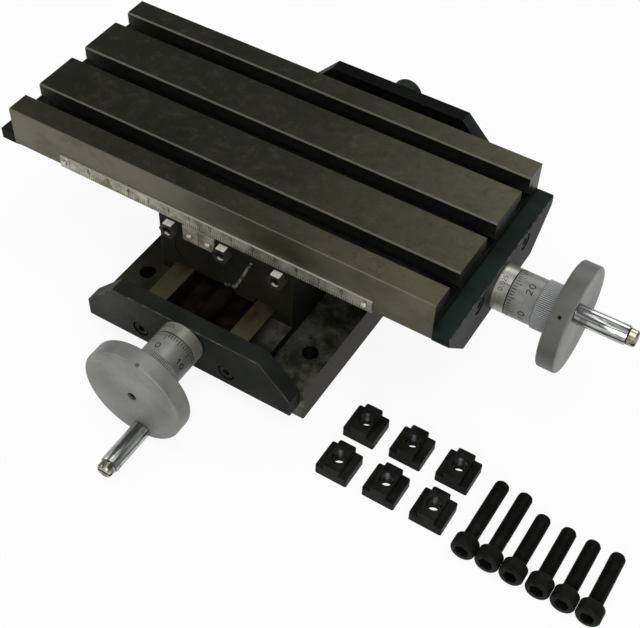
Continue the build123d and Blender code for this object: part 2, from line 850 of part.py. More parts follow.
def make_leadscrew(span):
    """A leadscrew: a far journal, the threaded length, a thrust flange and the shaft of the wheel."""
    journal = journal_diameter / 2
    centre_radius = centre_hole / 2
    flange_radius = thrust_diameter / 2
    far_end = -span - boss_length / 2 + end_gap
    shoulder = -span + bracket_thickness + end_gap
    flange_start = -thrust_length + end_gap / 2
    flange_end = flange_start + thrust_length
    points = [
        (0, far_end),
        (journal - edge, far_end),
        (journal, far_end + edge),
        (journal, shoulder),
        (screw_radius - edge, shoulder),
        (screw_radius, shoulder + edge),
        (screw_radius, flange_start),
        (flange_radius, flange_start),
        (flange_radius, flange_end),
        (screw_radius, flange_end),
        (screw_radius, shaft_end - edge),
        (screw_radius - edge, shaft_end),
        (centre_radius, shaft_end),
        (centre_radius, shaft_end - centre_hole_depth + centre_radius),
        (0, shaft_end - centre_hole_depth),
    ]
    return turned(points)


def make_index_collar():
    """The fixed collar with the index line: its spigot is held in the bracket, over the thrust flange."""
    spigot = spigot_diameter / 2
    outer = collar_diameter / 2
    room = thrust_diameter / 2 + thrust_room
    points = [
        (room, -thrust_length),
        (spigot, -thrust_length),
        (spigot, 0),
        (outer, 0),
        (outer, collar_length),
        (screw_bore, collar_length),
        (screw_bore, end_gap),
        (room, end_gap),
    ]
    return turned(points)


def make_dial():
    """The ring with the divisions and the knurled grip that it is set to zero by."""
    bore = hub_diameter / 2 + shaft_gap
    outer = collar_diameter / 2
    knurl = knurl_diameter / 2
    step = dial_start + dial_length
    points = [
        (bore, dial_start),
        (outer - dial_bevel, dial_start),
        (outer, dial_start + dial_bevel),
        (outer, step),
        (knurl - dial_bevel, step),
        (knurl, step + dial_bevel),
        (knurl, dial_end - dial_bevel),
        (knurl - dial_bevel, dial_end),
        (bore, dial_end),
    ]
    return turned(points)


def make_handwheel(grip_angle, rim_hole_angle):
    """The wheel with its hub: the dial turns on the hub, and the grip's bolt stands in the face."""
    hub = hub_diameter / 2
    neck = neck_diameter / 2
    rim = wheel_diameter / 2
    bore = screw_radius + seat_gap
    hub_start = dial_start + end_gap
    dish = wheel_dish_diameter / 2
    points = [
        (bore, hub_start),
        (hub, hub_start),
        (hub, dial_end + end_gap),
        (neck, dial_end + end_gap),
        (neck, wheel_start),
        (rim, wheel_start),
        (rim, wheel_end),
        (dish, wheel_end),
        (wheel_face_hole / 2, wheel_end - wheel_dish),
        (wheel_face_hole / 2, shaft_end + end_gap),
        (bore, shaft_end + end_gap),
    ]
    wheel = turned(points)
    rim_edges = [edge for edge in wheel.edges().filter_by(GeomType.CIRCLE) if edge.radius > dish + 1]
    wheel = fillet(rim_edges, wheel_rounding)
    grip = (grip_radius * cos(radians(grip_angle)), grip_radius * sin(radians(grip_angle)))
    wheel -= screw_hole((*grip, wheel_start), (0, 0, 1), wheel_width)
    return wheel - rod((0, 0, grub_level), rim_direction(rim_hole_angle), grub / 2 + seat_gap, rim)


def rim_direction(angle):
    """The direction of a hole in the rim, in a screw line's place."""
    return (cos(radians(angle)), sin(radians(angle)), 0)


def make_grub_screw(angle):
    """The set screw that locks a handwheel on its shaft, deep in the hole in the rim."""
    outer = screw_radius + grub_length
    start = (outer * cos(radians(angle)), outer * sin(radians(angle)), grub_level)
    place = Plane(origin=start, z_dir=rim_direction(angle))
    screw = rod((0, 0, 0), (0, 0, -1), grub / 2, grub_length)
    screw -= Pos(0, 0, -grub_key_depth) * hexagon(grub_key, grub_key_depth)
    shaft = rod((0, 0, wheel_start), (0, 0, 1), screw_radius + seat_gap / 2, wheel_width)
    return place * screw - shaft


def make_grip_bolt(angle):
    """The slotted bolt that the grip turns on: its thread is in the wheel's face."""
    thread = m4 / 2
    shank = grip_bolt_diameter / 2
    head = grip_head_diameter / 2
    head_start = wheel_end + grip_length + 2 * end_gap
    head_end = head_start + grip_head_length
    points = [
        (0, wheel_start + edge),
        (thread, wheel_start + edge),
        (thread, wheel_end),
        (shank, wheel_end),
        (shank, head_start),
        (head, head_start),
        (head, head_end - 2 * edge),
        (head - edge, head_end),
        (0, head_end),
    ]
    bolt = turned(points)
    slot = (-grip_slot_width / 2, grip_slot_width / 2)
    bolt -= block((-head, head), slot, (head_end - grip_slot_depth, head_end))
    return Pos(grip_radius * cos(radians(angle)), grip_radius * sin(radians(angle)), 0) * bolt


def make_grip(angle):
    """The sleeve that the hand holds."""
    bore = grip_bolt_diameter / 2 + shaft_gap
    outer = grip_diameter / 2
    low = wheel_end + end_gap
    high = low + grip_length
    points = [
        (bore, low),
        (outer - edge, low),
        (outer, low + edge),
        (outer, high - edge),
        (outer - edge, high),
        (bore, high),
    ]
    return Pos(grip_radius * cos(radians(angle)), grip_radius * sin(radians(angle)), 0) * turned(points)


# T-nuts and clamp screws beside the table

def tee_nut():
    """One T-nut that stands on its base, with a tapped hole."""
    half_base = tee_width / 2
    half_tongue = tongue_width / 2
    top = tee_height + tongue_height
    right = [(half_base, 0), (half_base, tee_height), (half_tongue, tee_height), (half_tongue, top)]
    nut = prism_along_y(right + [(-x, z) for x, z in reversed(right)], 0, tee_length)
    nut = fillet(nut.edges().filter_by(Axis.Z), tee_rounding)
    nut -= rod((0, 0, 0), (0, 0, 1), m6 / 2, top)
    rim = m6 / 2 + tee_countersink
    return nut - Pos(0, 0, top - tee_countersink / 2) * Cone(m6 / 2, rim, tee_countersink)


def make_tee_nuts():
    """Three by two T-nuts."""
    nuts = []
    for column in range(tee_columns):
        for row in range(tee_rows):
            x = tee_nuts_x + (column - (tee_columns - 1) / 2) * tee_pitch_x
            y = tee_nuts_y + (row - (tee_rows - 1) / 2) * tee_pitch_y + tee_column_strays[column]
            nuts.append(Pos(x, y, 0) * tee_nut())
    return Compound(nuts)


def lying_screw(x, length):
    """A clamp screw that lies on its head and on the end of its thread, pointing along +Y."""
    lean = atan((m6_head - m6) / 2 / length)
    screw = socket_screw(m6, length, m6_head, m6_head_height, m6_key, m6_key_depth)
    level = m6_head / 2 * cos(lean)
    place = Plane(origin=(x, screw_heads_y + m6_head_height, level), z_dir=(0, -cos(lean), sin(lean)))
    return place * screw


def make_clamp_screws(first, count, length):
    """A row of clamp screws of one length."""
    screws = []
    for index in range(first, first + count):
        x = screws_x + index * screw_pitch + screw_strays[index]
        screws.append(lying_screw(x, length))
    return Compound(screws)


x_gib_lines = [x_gib_line(x) for x in x_gib_screw_places()]
y_gib_lines = [y_gib_line(y) for y in y_gib_screw_places()]

parts = {
    "base_casting": make_base_casting(),
    "front_bracket": make_front_bracket(),
    "rear_bracket": make_rear_bracket(),
    "y_bracket_screws": make_y_bracket_screws(),
    "y_index_collar": y_line * make_index_collar(),
    "t_nuts": make_tee_nuts(),
    "clamp_screws_long": make_clamp_screws(0, long_screw_count, long_screw),
    "clamp_screws_short": make_clamp_screws(long_screw_count, short_screw_count, short_screw),
    "saddle_casting": make_saddle_casting(),
    "x_gib": make_x_gib(),
    "y_gib": make_y_gib(),
    "x_gib_screws": make_gib_screws(x_gib_lines, x_gib_screw_length),
    "y_gib_screws": make_gib_screws(y_gib_lines, y_gib_screw_length),
    "x_gib_lock_nuts": make_lock_nuts(x_gib_lines),
    "y_gib_lock_nuts": make_lock_nuts(y_gib_lines),
    "x_nut": make_x_nut(),
    "y_nut": make_y_nut(),
    "x_nut_screws": make_x_nut_screws(),
    "y_nut_screws": make_y_nut_screws(),
    "pointer_plate": make_pointer_plate(),
    "pointer_rivets": make_rivets(pointer_rivet_places(), saddle_front, pointer_rivet_level),
    "table_top": make_table_top(),
    "right_bracket": make_right_bracket(),
    "left_bracket": make_left_bracket(),
    "x_bracket_screws": make_x_bracket_screws(),
    "x_index_collar": x_line * make_index_collar(),
    "rule": make_rule(),
    "rule_rivets": make_rivets(rule_rivet_places(), table_front, rule_middle),
    "x_leadscrew": x_line * make_leadscrew(x_span),
    "x_handwheel": x_line * make_handwheel(x_grip_angle, x_rim_hole_angle),
    "x_grub_screw": x_line * make_grub_screw(x_rim_hole_angle),
    "x_grip_bolt": x_line * make_grip_bolt(x_grip_angle),
    "x_grip": x_line * make_grip(x_grip_angle),
    "x_dial": x_line * make_dial(),
    "y_leadscrew": y_line * make_leadscrew(y_span),
    "y_handwheel": y_line * make_handwheel(y_grip_angle, y_rim_hole_angle),
    "y_grub_screw": y_line * make_grub_screw(y_rim_hole_angle),
    "y_grip_bolt": y_line * make_grip_bolt(y_grip_angle),
    "y_grip": y_line * make_grip(y_grip_angle),
    "y_dial": y_line * make_dial(),
}

os.makedirs("parts", exist_ok=True)
for name, part in parts.items():
    export_step(part, f"parts/{name}.step")
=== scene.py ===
# %% [markdown]
# # A cross slide table
#
# A small cross slide table is bolted under a drill press to move the work. Its base carries a saddle on
# dovetail ways, and the saddle carries a table with three T-slots. A screw with a dial and a handwheel moves
# each slide. This lesson dresses the solids of such a table. The solids come from CAD, in metres, and they
# stay where they are: we give them finishes, and make by hand what a plain solid can't show, such as
# threads, knurling, engraved lines and numbers.

# %% Load the solids
import math

import bmesh
import bpy
import numpy as np
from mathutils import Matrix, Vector


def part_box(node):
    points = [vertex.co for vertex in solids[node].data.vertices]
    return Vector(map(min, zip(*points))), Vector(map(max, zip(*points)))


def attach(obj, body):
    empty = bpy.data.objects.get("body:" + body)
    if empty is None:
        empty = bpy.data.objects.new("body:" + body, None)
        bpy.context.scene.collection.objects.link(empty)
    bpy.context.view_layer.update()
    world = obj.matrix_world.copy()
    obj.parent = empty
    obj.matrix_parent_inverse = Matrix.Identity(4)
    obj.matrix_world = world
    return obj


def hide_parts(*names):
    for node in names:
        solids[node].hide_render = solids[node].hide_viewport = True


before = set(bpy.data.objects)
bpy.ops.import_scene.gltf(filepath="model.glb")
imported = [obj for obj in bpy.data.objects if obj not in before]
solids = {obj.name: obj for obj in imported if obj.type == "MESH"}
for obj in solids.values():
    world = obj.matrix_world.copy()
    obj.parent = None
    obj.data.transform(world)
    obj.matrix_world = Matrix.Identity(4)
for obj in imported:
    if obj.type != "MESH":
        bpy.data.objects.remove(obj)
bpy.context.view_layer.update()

# %% [markdown]
# ## The camera
#
# The camera stands where the photographer stood: above the front right corner, looking down at the table by
# about fifty degrees. Place and angles were fitted to the corners of the table, so a long lens from not far
# away gives the same mild perspective. Depth of field stays off, because every part of a product photo is
# sharp.

# %% Camera
camera_data = bpy.data.cameras.new("studio_camera")
camera_data.lens = 68.355
camera_data.sensor_width = 36.0
camera_data.clip_start = 0.01
camera = bpy.data.objects.new("studio_camera", camera_data)
camera.location = (0.19768, -0.32703, 0.39664)
camera.rotation_euler = [math.radians(angle) for angle in (40.8348, -1.3368, 31.7021)]
bpy.context.scene.collection.objects.link(camera)
bpy.context.scene.camera = camera
bpy.context.scene.view_settings.view_transform = "Standard"
print("camera at", tuple(round(value, 3) for value in camera.location))

# %% [markdown]
# ## Surfaces from whole arrays
#
# Most new pieces here are round. A round surface is a grid: one parameter runs round the axis, the other
# runs along it, and every grid point has a radius and a height. We could ask Blender for cylinders and bend
# them, but a grid worked out with numpy is exact, and a thread or a knurl is then only a different formula
# for the radius. Points that fall together, as at a pole, are merged afterwards, which closes the surface.

# %% From a grid of points to an object
MM = 0.001
WELD_DISTANCE = 1e-7
SHARP_ANGLE = 30.0


def grid_faces(rows, columns, closed):
    """Quads between neighbouring rows and columns: corner (i, j), (i, j+1), (i+1, j+1), (i+1, j)."""
    row = np.arange(rows - 1)[:, None]
    column = np.arange(columns if closed else columns - 1)[None, :]
    after = (column + 1) % columns
    corners = [row * columns + column, row * columns + after]
    corners += [(row + 1) * columns + after, (row + 1) * columns + column]
    return np.stack(np.broadcast_arrays(*corners), axis=-1).reshape(-1, 4)


def joined(*shells):
    """Several (points, faces) shells as one, with the face numbers of each moved on."""
    points, faces, first = [], [], 0
    for shell_points, shell_faces in shells:
        points.append(shell_points)
        faces.append(shell_faces + first)
        first += len(shell_points)
    return np.concatenate(points), np.concatenate(faces)


def weld(mesh):
    """Merges points that fall together and drops the faces that this leaves without an area."""
    work = bmesh.new()
    work.from_mesh(mesh)
    bmesh.ops.remove_doubles(work, verts=work.verts, dist=WELD_DISTANCE)
    bmesh.ops.dissolve_degenerate(work, dist=WELD_DISTANCE, edges=work.edges)
    work.to_mesh(mesh)
    work.free()
    mesh.update()


def surface_object(name, shell):
    """Makes an object from a shell in millimetres: welded, and smooth but for its sharp edges."""
    points, faces = shell
    mesh = bpy.data.meshes.new(name)
    mesh.vertices.add(len(points))
    mesh.vertices.foreach_set("co", (points * MM).astype(np.float32).ravel())
    mesh.loops.add(faces.size)
    mesh.loops.foreach_set("vertex_index", faces.astype(np.int32).ravel())
    mesh.polygons.add(len(faces))
    mesh.polygons.foreach_set("loop_start", np.arange(0, faces.size, 4, dtype=np.int32))
    mesh.update(calc_edges=True)
    weld(mesh)
    mesh.shade_smooth()
    mesh.set_sharp_from_angle(angle=math.radians(SHARP_ANGLE))
    piece = bpy.data.objects.new(name, mesh)
    bpy.context.scene.collection.objects.link(piece)
    return piece


# %% Round surfaces
def turned(segments, *rows):
    """A surface about Z from (height, radius) rows, where a radius is one number or one number a segment.

    Point (i, j) is (r cos t, r sin t, h), with t = 2 pi j / segments.
    """
    angle = 2 * np.pi * np.arange(segments) / segments
    radii = np.stack([np.broadcast_to(np.asarray(radius, float), (segments,)) for _, radius in rows])
    heights = np.broadcast_to(np.array([[height] for height, _ in rows], float), radii.shape)
    points = np.stack([radii * np.cos(angle), radii * np.sin(angle), heights], axis=-1)
    return points.reshape(-1, 3), grid_faces(*radii.shape, closed=True)


def placed(shell, origin, x_axis, y_axis, z_axis):
    """Moves a shell into a place: each point becomes origin + x times one axis + y and z times the others."""
    points, faces = shell
    axes = np.array([x_axis, y_axis, z_axis], float)
    return points @ axes + np.asarray(origin, float), faces


print("a tube of 96 points and 2 rows has", len(turned(96, (0, 5), (1, 5))[1]), "faces")

# %% [markdown]
# ## The two screw lines
#
# Collar, dial, wheel and screw of each slide share one line. The table's line runs out along +X, the
# saddle's along -Y. Their middles are read from the dials' boxes, so the new pieces sit where the solids
# are. Heights count outwards from the face that the index collar stands on.

# %% Screw lines
def middle_mm(node):
    """The middle of a solid's box, in millimetres."""
    low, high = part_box(node)
    return (low + high) / 2 / MM


x_middle = middle_mm("x_dial")
y_middle = middle_mm("y_dial")
x_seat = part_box("right_bracket")[1].x / MM
y_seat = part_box("front_bracket")[0].y / MM
screw_lines = {
    "x": dict(origin=(x_seat, x_middle.y, x_middle.z), x_axis=(0, 1, 0), y_axis=(0, 0, 1), z_axis=(1, 0, 0)),
    "y": dict(origin=(y_middle.x, y_seat, y_middle.z), x_axis=(1, 0, 0), y_axis=(0, 0, 1), z_axis=(0, -1, 0)),
}
print("screw lines start at", screw_lines["x"]["origin"], screw_lines["y"]["origin"])

# %% [markdown]
# ## Threads
#
# A thread is a round surface whose profile climbs by one pitch while it goes round once. Row after row the
# profile steps from root to crest and back, and the height of every point is its row's height plus its
# share of the climb. The grid has one column more than it needs: the last column lies on the first one, one
# turn higher up, and merging the points closes the seam. Heights are held between the two ends, where the
# radius runs down, as on a real screw that was chamfered before it was threaded.

# %% Threads, outside and inside
THREAD_STEPS = np.array([0.0, 0.38, 0.5, 0.88])
THREAD_CUT = np.array([1.0, 0.0, 0.0, 1.0])
THREAD_DEPTH, TAPPED_DEPTH = 0.61, 0.4
ROUNDED_PITCHES = 1.6
THREAD_SEGMENTS = 32


def thread_grid(pitch, length):
    """Angle, height and cut of every point: h = h_i + pitch t / (2 pi), held between 0 and the length."""
    turns = int(np.ceil(length / pitch)) + 2
    rise = ((np.arange(turns)[:, None] + THREAD_STEPS).ravel() - 1.0) * pitch
    angle = 2 * np.pi * np.arange(THREAD_SEGMENTS + 1) / THREAD_SEGMENTS
    height = np.clip(rise[:, None] + pitch * angle / (2 * np.pi), 0.0, length)
    cut = np.broadcast_to(np.tile(THREAD_CUT, turns)[:, None], height.shape)
    return np.broadcast_to(angle, height.shape), height, cut


def grid_shell(angle, radius, height, left_handed=False):
    """A shell from a grid in round coordinates. Left-handed means mirrored, with the faces turned back."""
    side = -1.0 if left_handed else 1.0
    points = np.stack([radius * np.cos(angle), side * radius * np.sin(angle), height], axis=-1)
    faces = grid_faces(*radius.shape, closed=False)
    return points.reshape(-1, 3), faces[:, ::-1] if left_handed else faces


def with_ends(grid, first, last):
    """A grid with one more row at each end, all of one value."""
    rows = [np.full_like(grid[:1], first), grid, np.full_like(grid[:1], last)]
    return np.concatenate(rows)


def thread(major, pitch, length, end_radius, left_handed=False):
    """A threaded rod about Z, from height 0 up: r = major / 2 - depth x cut, less near the ends."""
    angle, height, cut = thread_grid(pitch, length)
    into = np.clip(np.minimum(height, length - height) / (ROUNDED_PITCHES * pitch), 0, 1)
    near_end = end_radius + (major / 2 - end_radius) * np.sqrt(1 - (1 - into) ** 2)
    radius = np.minimum(major / 2 - THREAD_DEPTH * pitch * cut, near_end)
    angle = np.concatenate([angle[:1], angle, angle[:1]])
    return grid_shell(angle, with_ends(radius, 0, 0), with_ends(height, 0, length), left_handed)


def tapped_liner(bore, pitch, length):
    """The inside of a tapped hole about Z, as a thin sleeve whose outer wall hides in the metal."""
    angle, height, cut = thread_grid(pitch, length)
    near_end = bore / 2 - np.minimum(height, length - height)
    radius = np.maximum(bore / 2 - TAPPED_DEPTH * pitch * (1.0 - cut), near_end)
    angle = np.concatenate([angle[:1], angle, angle[:1]])
    wall = bore / 2 + 0.1
    radius, height = with_ends(radius, wall, wall), with_ends(height, 0, length)
    rows = [np.concatenate([grid, grid[:1]]) for grid in (angle, radius, height)]
    points, faces = grid_shell(*rows)
    return points, faces[:, ::-1]


def lifted(shell, height):
    """A shell moved along Z."""
    return shell[0] + (0, 0, height), shell[1]


print("an M8 thread of 20 mm has", len(thread(8.0, 1.25, 20.0, 3.0)[1]), "faces")

# %% [markdown]
# ## Round surfaces that aren't round
#
# A straight knurl is a row of ridges round a ring. On a grid it needs no cutting: the radius just dips at
# every groove. A hexagon socket is a round surface too, if the radius follows the flats: the distance to a
# flat is half the key's width, divided by the cosine of the angle from the middle of that flat.

# %% Ridges and hexagon sockets
def ridged_radii(radius, depth, count, segments):
    """r = radius - depth (1 - |sin(n t / 2)|): round ridges with sharp grooves between them."""
    angle = 2 * np.pi * np.arange(segments) / segments
    return radius - depth * (1 - np.abs(np.sin(count / 2 * angle)))


def hexagon_radii(flats, segments):
    """The radius of a hexagon at each of the segments of a turn."""
    angle = 2 * np.pi * np.arange(segments) / segments
    from_flat = (angle + np.pi / 6) % (np.pi / 3) - np.pi / 6
    return flats / 2 / np.cos(from_flat)


print("a hexagon 5 mm across its flats has corners at", hexagon_radii(5.0, 360).max().round(3), "mm")

# %% [markdown]
# ## Strokes
#
# Division lines and numbers are cut into the dials and filled with black. We lay them on as ribbons a
# hundredth of a millimetre thick. A ribbon follows a path in a flat (u, v) plane; the plane is then laid on
# a flat face or wrapped round a cylinder, where the distance u becomes the angle u / r.

# %% Ribbons and digits
def ribbon(path, width, low=-0.05, high=0.012):
    """A bar along a flat path: four long sides and two ends, from a height below the face to one above."""
    path = np.asarray(path, float)
    run = np.gradient(path, axis=0)
    run /= np.linalg.norm(run, axis=1)[:, None]
    side = np.stack([-run[:, 1], run[:, 0]], axis=-1) * width / 2
    corners = [(path + side, low), (path + side, high), (path - side, high), (path - side, low)]
    rows = [np.column_stack([place, np.full(len(path), level)]) for place, level in corners]
    points = np.stack(rows, axis=1).reshape(-1, 3)
    last = 4 * (len(path) - 1)
    ends = np.array([[3, 2, 1, 0], [last, last + 1, last + 2, last + 3]])
    return points, np.concatenate([grid_faces(len(path), 4, closed=True), ends])


def arc(middle, radii, start, end, steps=14):
    """Points on an ellipse between two angles in degrees."""
    angle = np.radians(np.linspace(start, end, steps))
    return np.stack([middle[0] + radii[0] * np.cos(angle), middle[1] + radii[1] * np.sin(angle)], axis=-1)


def straight(start, end, steps=6):
    """Points on a straight stroke, close enough together to be bent round a cylinder."""
    part = np.linspace(0, 1, steps)[:, None]
    return np.array(start) * (1 - part) + np.array(end) * part


DIGITS = {
    ".": [straight((0.30, 0.0), (0.30, 0.09), 2)],
    "0": [arc((0.30, 0.50), (0.27, 0.47), 90, 455, 28)],
    "1": [straight((0.10, 0.76), (0.36, 0.98)), straight((0.34, 1.0), (0.34, 0.0))],
    "2": [arc((0.30, 0.70), (0.26, 0.27), 165, -40), straight((0.52, 0.56), (0.04, 0.02)),
          straight((0.02, 0.04), (0.60, 0.04))],
    "3": [arc((0.28, 0.74), (0.24, 0.23), 150, -90), arc((0.28, 0.28), (0.28, 0.25), 90, -150)],
    "4": [straight((0.44, 0.0), (0.44, 1.0)), straight((0.46, 0.98), (0.02, 0.28)),
          straight((0.0, 0.30), (0.62, 0.30))],
    "5": [straight((0.56, 0.95), (0.10, 0.95)), straight((0.12, 0.98), (0.08, 0.50)),
          arc((0.28, 0.31), (0.28, 0.28), 130, -140)],
    "6": [arc((0.30, 0.29), (0.26, 0.26), 150, 515, 28), arc((0.62, 0.30), (0.58, 0.68), 105, 180)],
    "7": [straight((0.02, 0.95), (0.60, 0.95)), straight((0.58, 0.97), (0.22, 0.0))],
}


def written(text, width, height, gap, pen):
    """A number as ribbons in the (u, v) plane, with its middle at (0, 0)."""
    start = -(len(text) * width + (len(text) - 1) * gap) / 2
    scale = np.array([width / 0.6, height])
    shells = []
    for place, digit in enumerate(text):
        corner = (start + place * (width + gap), -height / 2)
        shells += [ribbon(stroke * scale + corner, pen) for stroke in DIGITS[digit]]
    return joined(*shells)


def line_mark(u, low, high, pen):
    """One straight division line."""
    return ribbon([(u, low), (u, high)], pen)


def wrapped(shell, radius, angle, height):
    """Lays (u, v, w) round a cylinder: t = angle - u / r, h = height - v and distance r + w."""
    points, faces = shell
    turn = math.radians(angle) - points[:, 0] / radius
    out = radius + points[:, 2]
    return np.column_stack([out * np.cos(turn), out * np.sin(turn), height - points[:, 1]]), faces


print("characters:", " ".join(DIGITS))

# %% [markdown]
# ## Finishes
#
# A finish is a small tree of nodes. The helper below keeps such a tree short: a method adds a node or two,
# and most hand back an output. The tone is the colour so far, and every layer is laid over it by a share.
# All patterns read Object coordinates. They are in metres here, so a noise of scale 1000 has blotches a
# millimetre across, and a scale that differs by axis draws the noise out into grinding lines.

# %% A helper for node trees
def colour(red, green, blue):
    """A colour as it looks on a screen (0 to 255), turned into the linear values that shaders use."""
    values = np.array([red, green, blue]) / 255.0
    linear = np.where(values <= 0.04045, values / 12.92, ((values + 0.055) / 1.055) ** 2.4)
    return (*linear.tolist(), 1.0)


def feed(tree, socket, value):
    """Links an output to a socket, or sets the socket to a value; a colour is three screen numbers."""
    if isinstance(value, bpy.types.NodeSocket):
        tree.links.new(value, socket)
    else:
        socket.default_value = colour(*value) if socket.type == "RGBA" else value


def add_node(tree, kind, inputs, **settings):
    """Adds a node, sets it up, feeds its inputs by name or number, and hands back its outputs."""
    node = tree.nodes.new("ShaderNode" + kind)
    for name, value in settings.items():
        setattr(node, name, value)
    for socket, value in inputs.items():
        feed(tree, node.inputs[socket], value)
    return node.outputs


class Finish:
    """A material that grows node by node. What its methods give back can be fed to the next one."""

    def __init__(self, name, metallic=0.0, roughness=0.5, gloss=0.5):
        self.material = bpy.data.materials.new(name)
        self.material.use_nodes = True
        self.tree = self.material.node_tree
        self.shader = self.tree.nodes["Principled BSDF"]
        self.coordinates = self.tree.nodes.new("ShaderNodeTexCoord").outputs
        self.shade("Metallic", metallic)
        self.shade("Roughness", roughness)
        self.shade("Specular IOR Level", gloss)

    def shade(self, socket, value):
        """Feeds a socket of the surface itself."""
        feed(self.tree, self.shader.inputs[socket], value)

    def place(self, scale=(1, 1, 1), shift=(0, 0, 0)):
        """Object coordinates, drawn out by a scale for each axis."""
        inputs = {"Vector": self.coordinates["Object"], "Scale": scale, "Location": shift}
        return add_node(self.tree, "Mapping", inputs)["Vector"]

    def noise(self, scale, detail=3.0, stretch=(1, 1, 1), shift=(0, 0, 0), roughness=0.5):
        """A cloudy value between 0 and 1."""
        inputs = {"Vector": self.place(stretch, shift), "Scale": scale, "Detail": detail}
        return add_node(self.tree, "TexNoise", {**inputs, "Roughness": roughness})["Fac"]

    def remap(self, value, low, high, out_low=0.0, out_high=1.0, smooth=True):
        """Turns the range low to high of a value into another range, with the ends held."""
        inputs = {"Value": value, "From Min": low, "From Max": high, "To Min": out_low, "To Max": out_high}
        kind = "SMOOTHSTEP" if smooth else "LINEAR"
        return add_node(self.tree, "MapRange", inputs, interpolation_type=kind)["Result"]

    def calc(self, operation, first, second=0.0):
        """One step of arithmetic, such as ADD, SUBTRACT, MAXIMUM or ABSOLUTE."""
        return add_node(self.tree, "Math", {0: first, 1: second}, operation=operation)[0]

    def both(self, first, second):
        """A product: a share of a share, or the place where two masks overlap."""
        return self.calc("MULTIPLY", first, second)

    def vector(self, operation, first, second=(0, 0, 0)):
        """One step of arithmetic on all three coordinates; a LENGTH is a single number."""
        outputs = add_node(self.tree, "VectorMath", {0: first, 1: second}, operation=operation)
        return outputs["Value" if operation == "LENGTH" else "Vector"]

    def axis(self, name, source="Object"):
        """One coordinate of a point, or of the surface's normal."""
        return add_node(self.tree, "SeparateXYZ", {0: self.coordinates[source]})[name]

    def along(self, axis, low, high, out_low=0.0, out_high=1.0):
        """A value that changes along an axis, from one place to another."""
        return self.remap(self.axis(axis), low, high, out_low, out_high)

    def between(self, axis, low, high, soft=0.0004):
        """1 where a coordinate lies between two values, 0 outside, with a soft edge."""
        above = self.along(axis, low - soft, low + soft)
        return self.both(above, self.along(axis, high - soft, high + soft, 1.0, 0.0))

    def facing(self, axis, low, high, out_low=0.0, out_high=1.0):
        """A value that changes with how far a face is turned towards either end of an axis."""
        return self.remap(self.calc("ABSOLUTE", self.axis(axis, "Normal")), low, high, out_low, out_high)

    def blend(self, factor, first, second):
        """A colour between two colours."""
        inputs = {"Factor": factor, "A": first, "B": second}
        return add_node(self.tree, "Mix", inputs, data_type="RGBA")["Result"]

    def blotches(self, scale, dark, pale, low=0.3, high=0.7, roughness=0.5):
        """Starts the tone, with two colours in soft blotches."""
        cloud = self.noise(scale, 4.0, roughness=roughness)
        self.tone = self.blend(self.remap(cloud, low, high), dark, pale)

    def lay(self, share, over):
        """Lays a colour over the tone, by a share."""
        self.tone = self.blend(share, self.tone, over)

    def bump(self, height, depth, strength):
        """Turns a height into a bumpy normal and feeds it to the surface."""
        inputs = {"Height": height, "Distance": depth, "Strength": strength}
        self.shade("Normal", add_node(self.tree, "Bump", inputs)["Normal"])

    def done(self, height=None, depth=0.00001, strength=0.3):
        """Feeds the tone, and a height if there is one, to the surface, and hands back the material."""
        self.shade("Base Color", self.tone)
        if height:
            self.bump(height, depth, strength)
        return self.material


print("half way to white on a screen is", round(colour(128, 128, 128)[0], 3), "of white's light")

# %% [markdown]
# ## Studio
#
# The photo was cut out on white. A pale floor does this honestly: for the camera and for reflections it is
# mostly plain white, and the rest of it is a real surface that keeps a soft shadow. The lamps are large and
# dim. The sky is darker overhead than near the floor, as it is in a room with a pale table, and that is why
# the tops of the iron look darker than its fronts.

# %% Floor, sky and lamps
WHITE_SHARE = 0.9
FLOOR_RADIUS = 4000.0
# The height of each band, from the horizon at 0 to overhead at 1, and its grey.
SKY_BANDS = [(0.0, 0.75), (0.12, 0.72), (0.22, 0.12), (0.36, 0.1), (0.44, 0.6), (0.54, 0.5), (0.64, 0.14),
             (0.9, 0.22)]


def white_when_seen(tree, share):
    """A factor that is a share for camera, glossy and transmission rays, and 0 for all others."""
    rays = add_node(tree, "LightPath", {})
    seen = rays["Is Camera Ray"]
    for name in ("Is Glossy Ray", "Is Transmission Ray"):
        seen = add_node(tree, "Math", {0: seen, 1: rays[name]}, operation="MAXIMUM")[0]
    return add_node(tree, "Math", {0: seen, 1: share}, operation="MULTIPLY")[0]


def make_floor():
    """A wide disc under the table: mostly white light where it is seen, and matt where light falls on it."""
    finish = Finish("studio_floor", roughness=1.0, gloss=0.0)
    matt = finish.shader
    matt.inputs["Base Color"].default_value = (0.85, 0.85, 0.85, 1.0)
    white = add_node(finish.tree, "Emission", {})
    inputs = {0: white_when_seen(finish.tree, WHITE_SHARE), 1: matt.outputs[0], 2: white[0]}
    mixed = add_node(finish.tree, "MixShader", inputs)
    feed(finish.tree, finish.tree.nodes["Material Output"].inputs["Surface"], mixed[0])
    floor = surface_object("studio_floor", turned(64, (-0.01, FLOOR_RADIUS), (-0.01, 0.0)))
    floor.data.materials.append(finish.material)


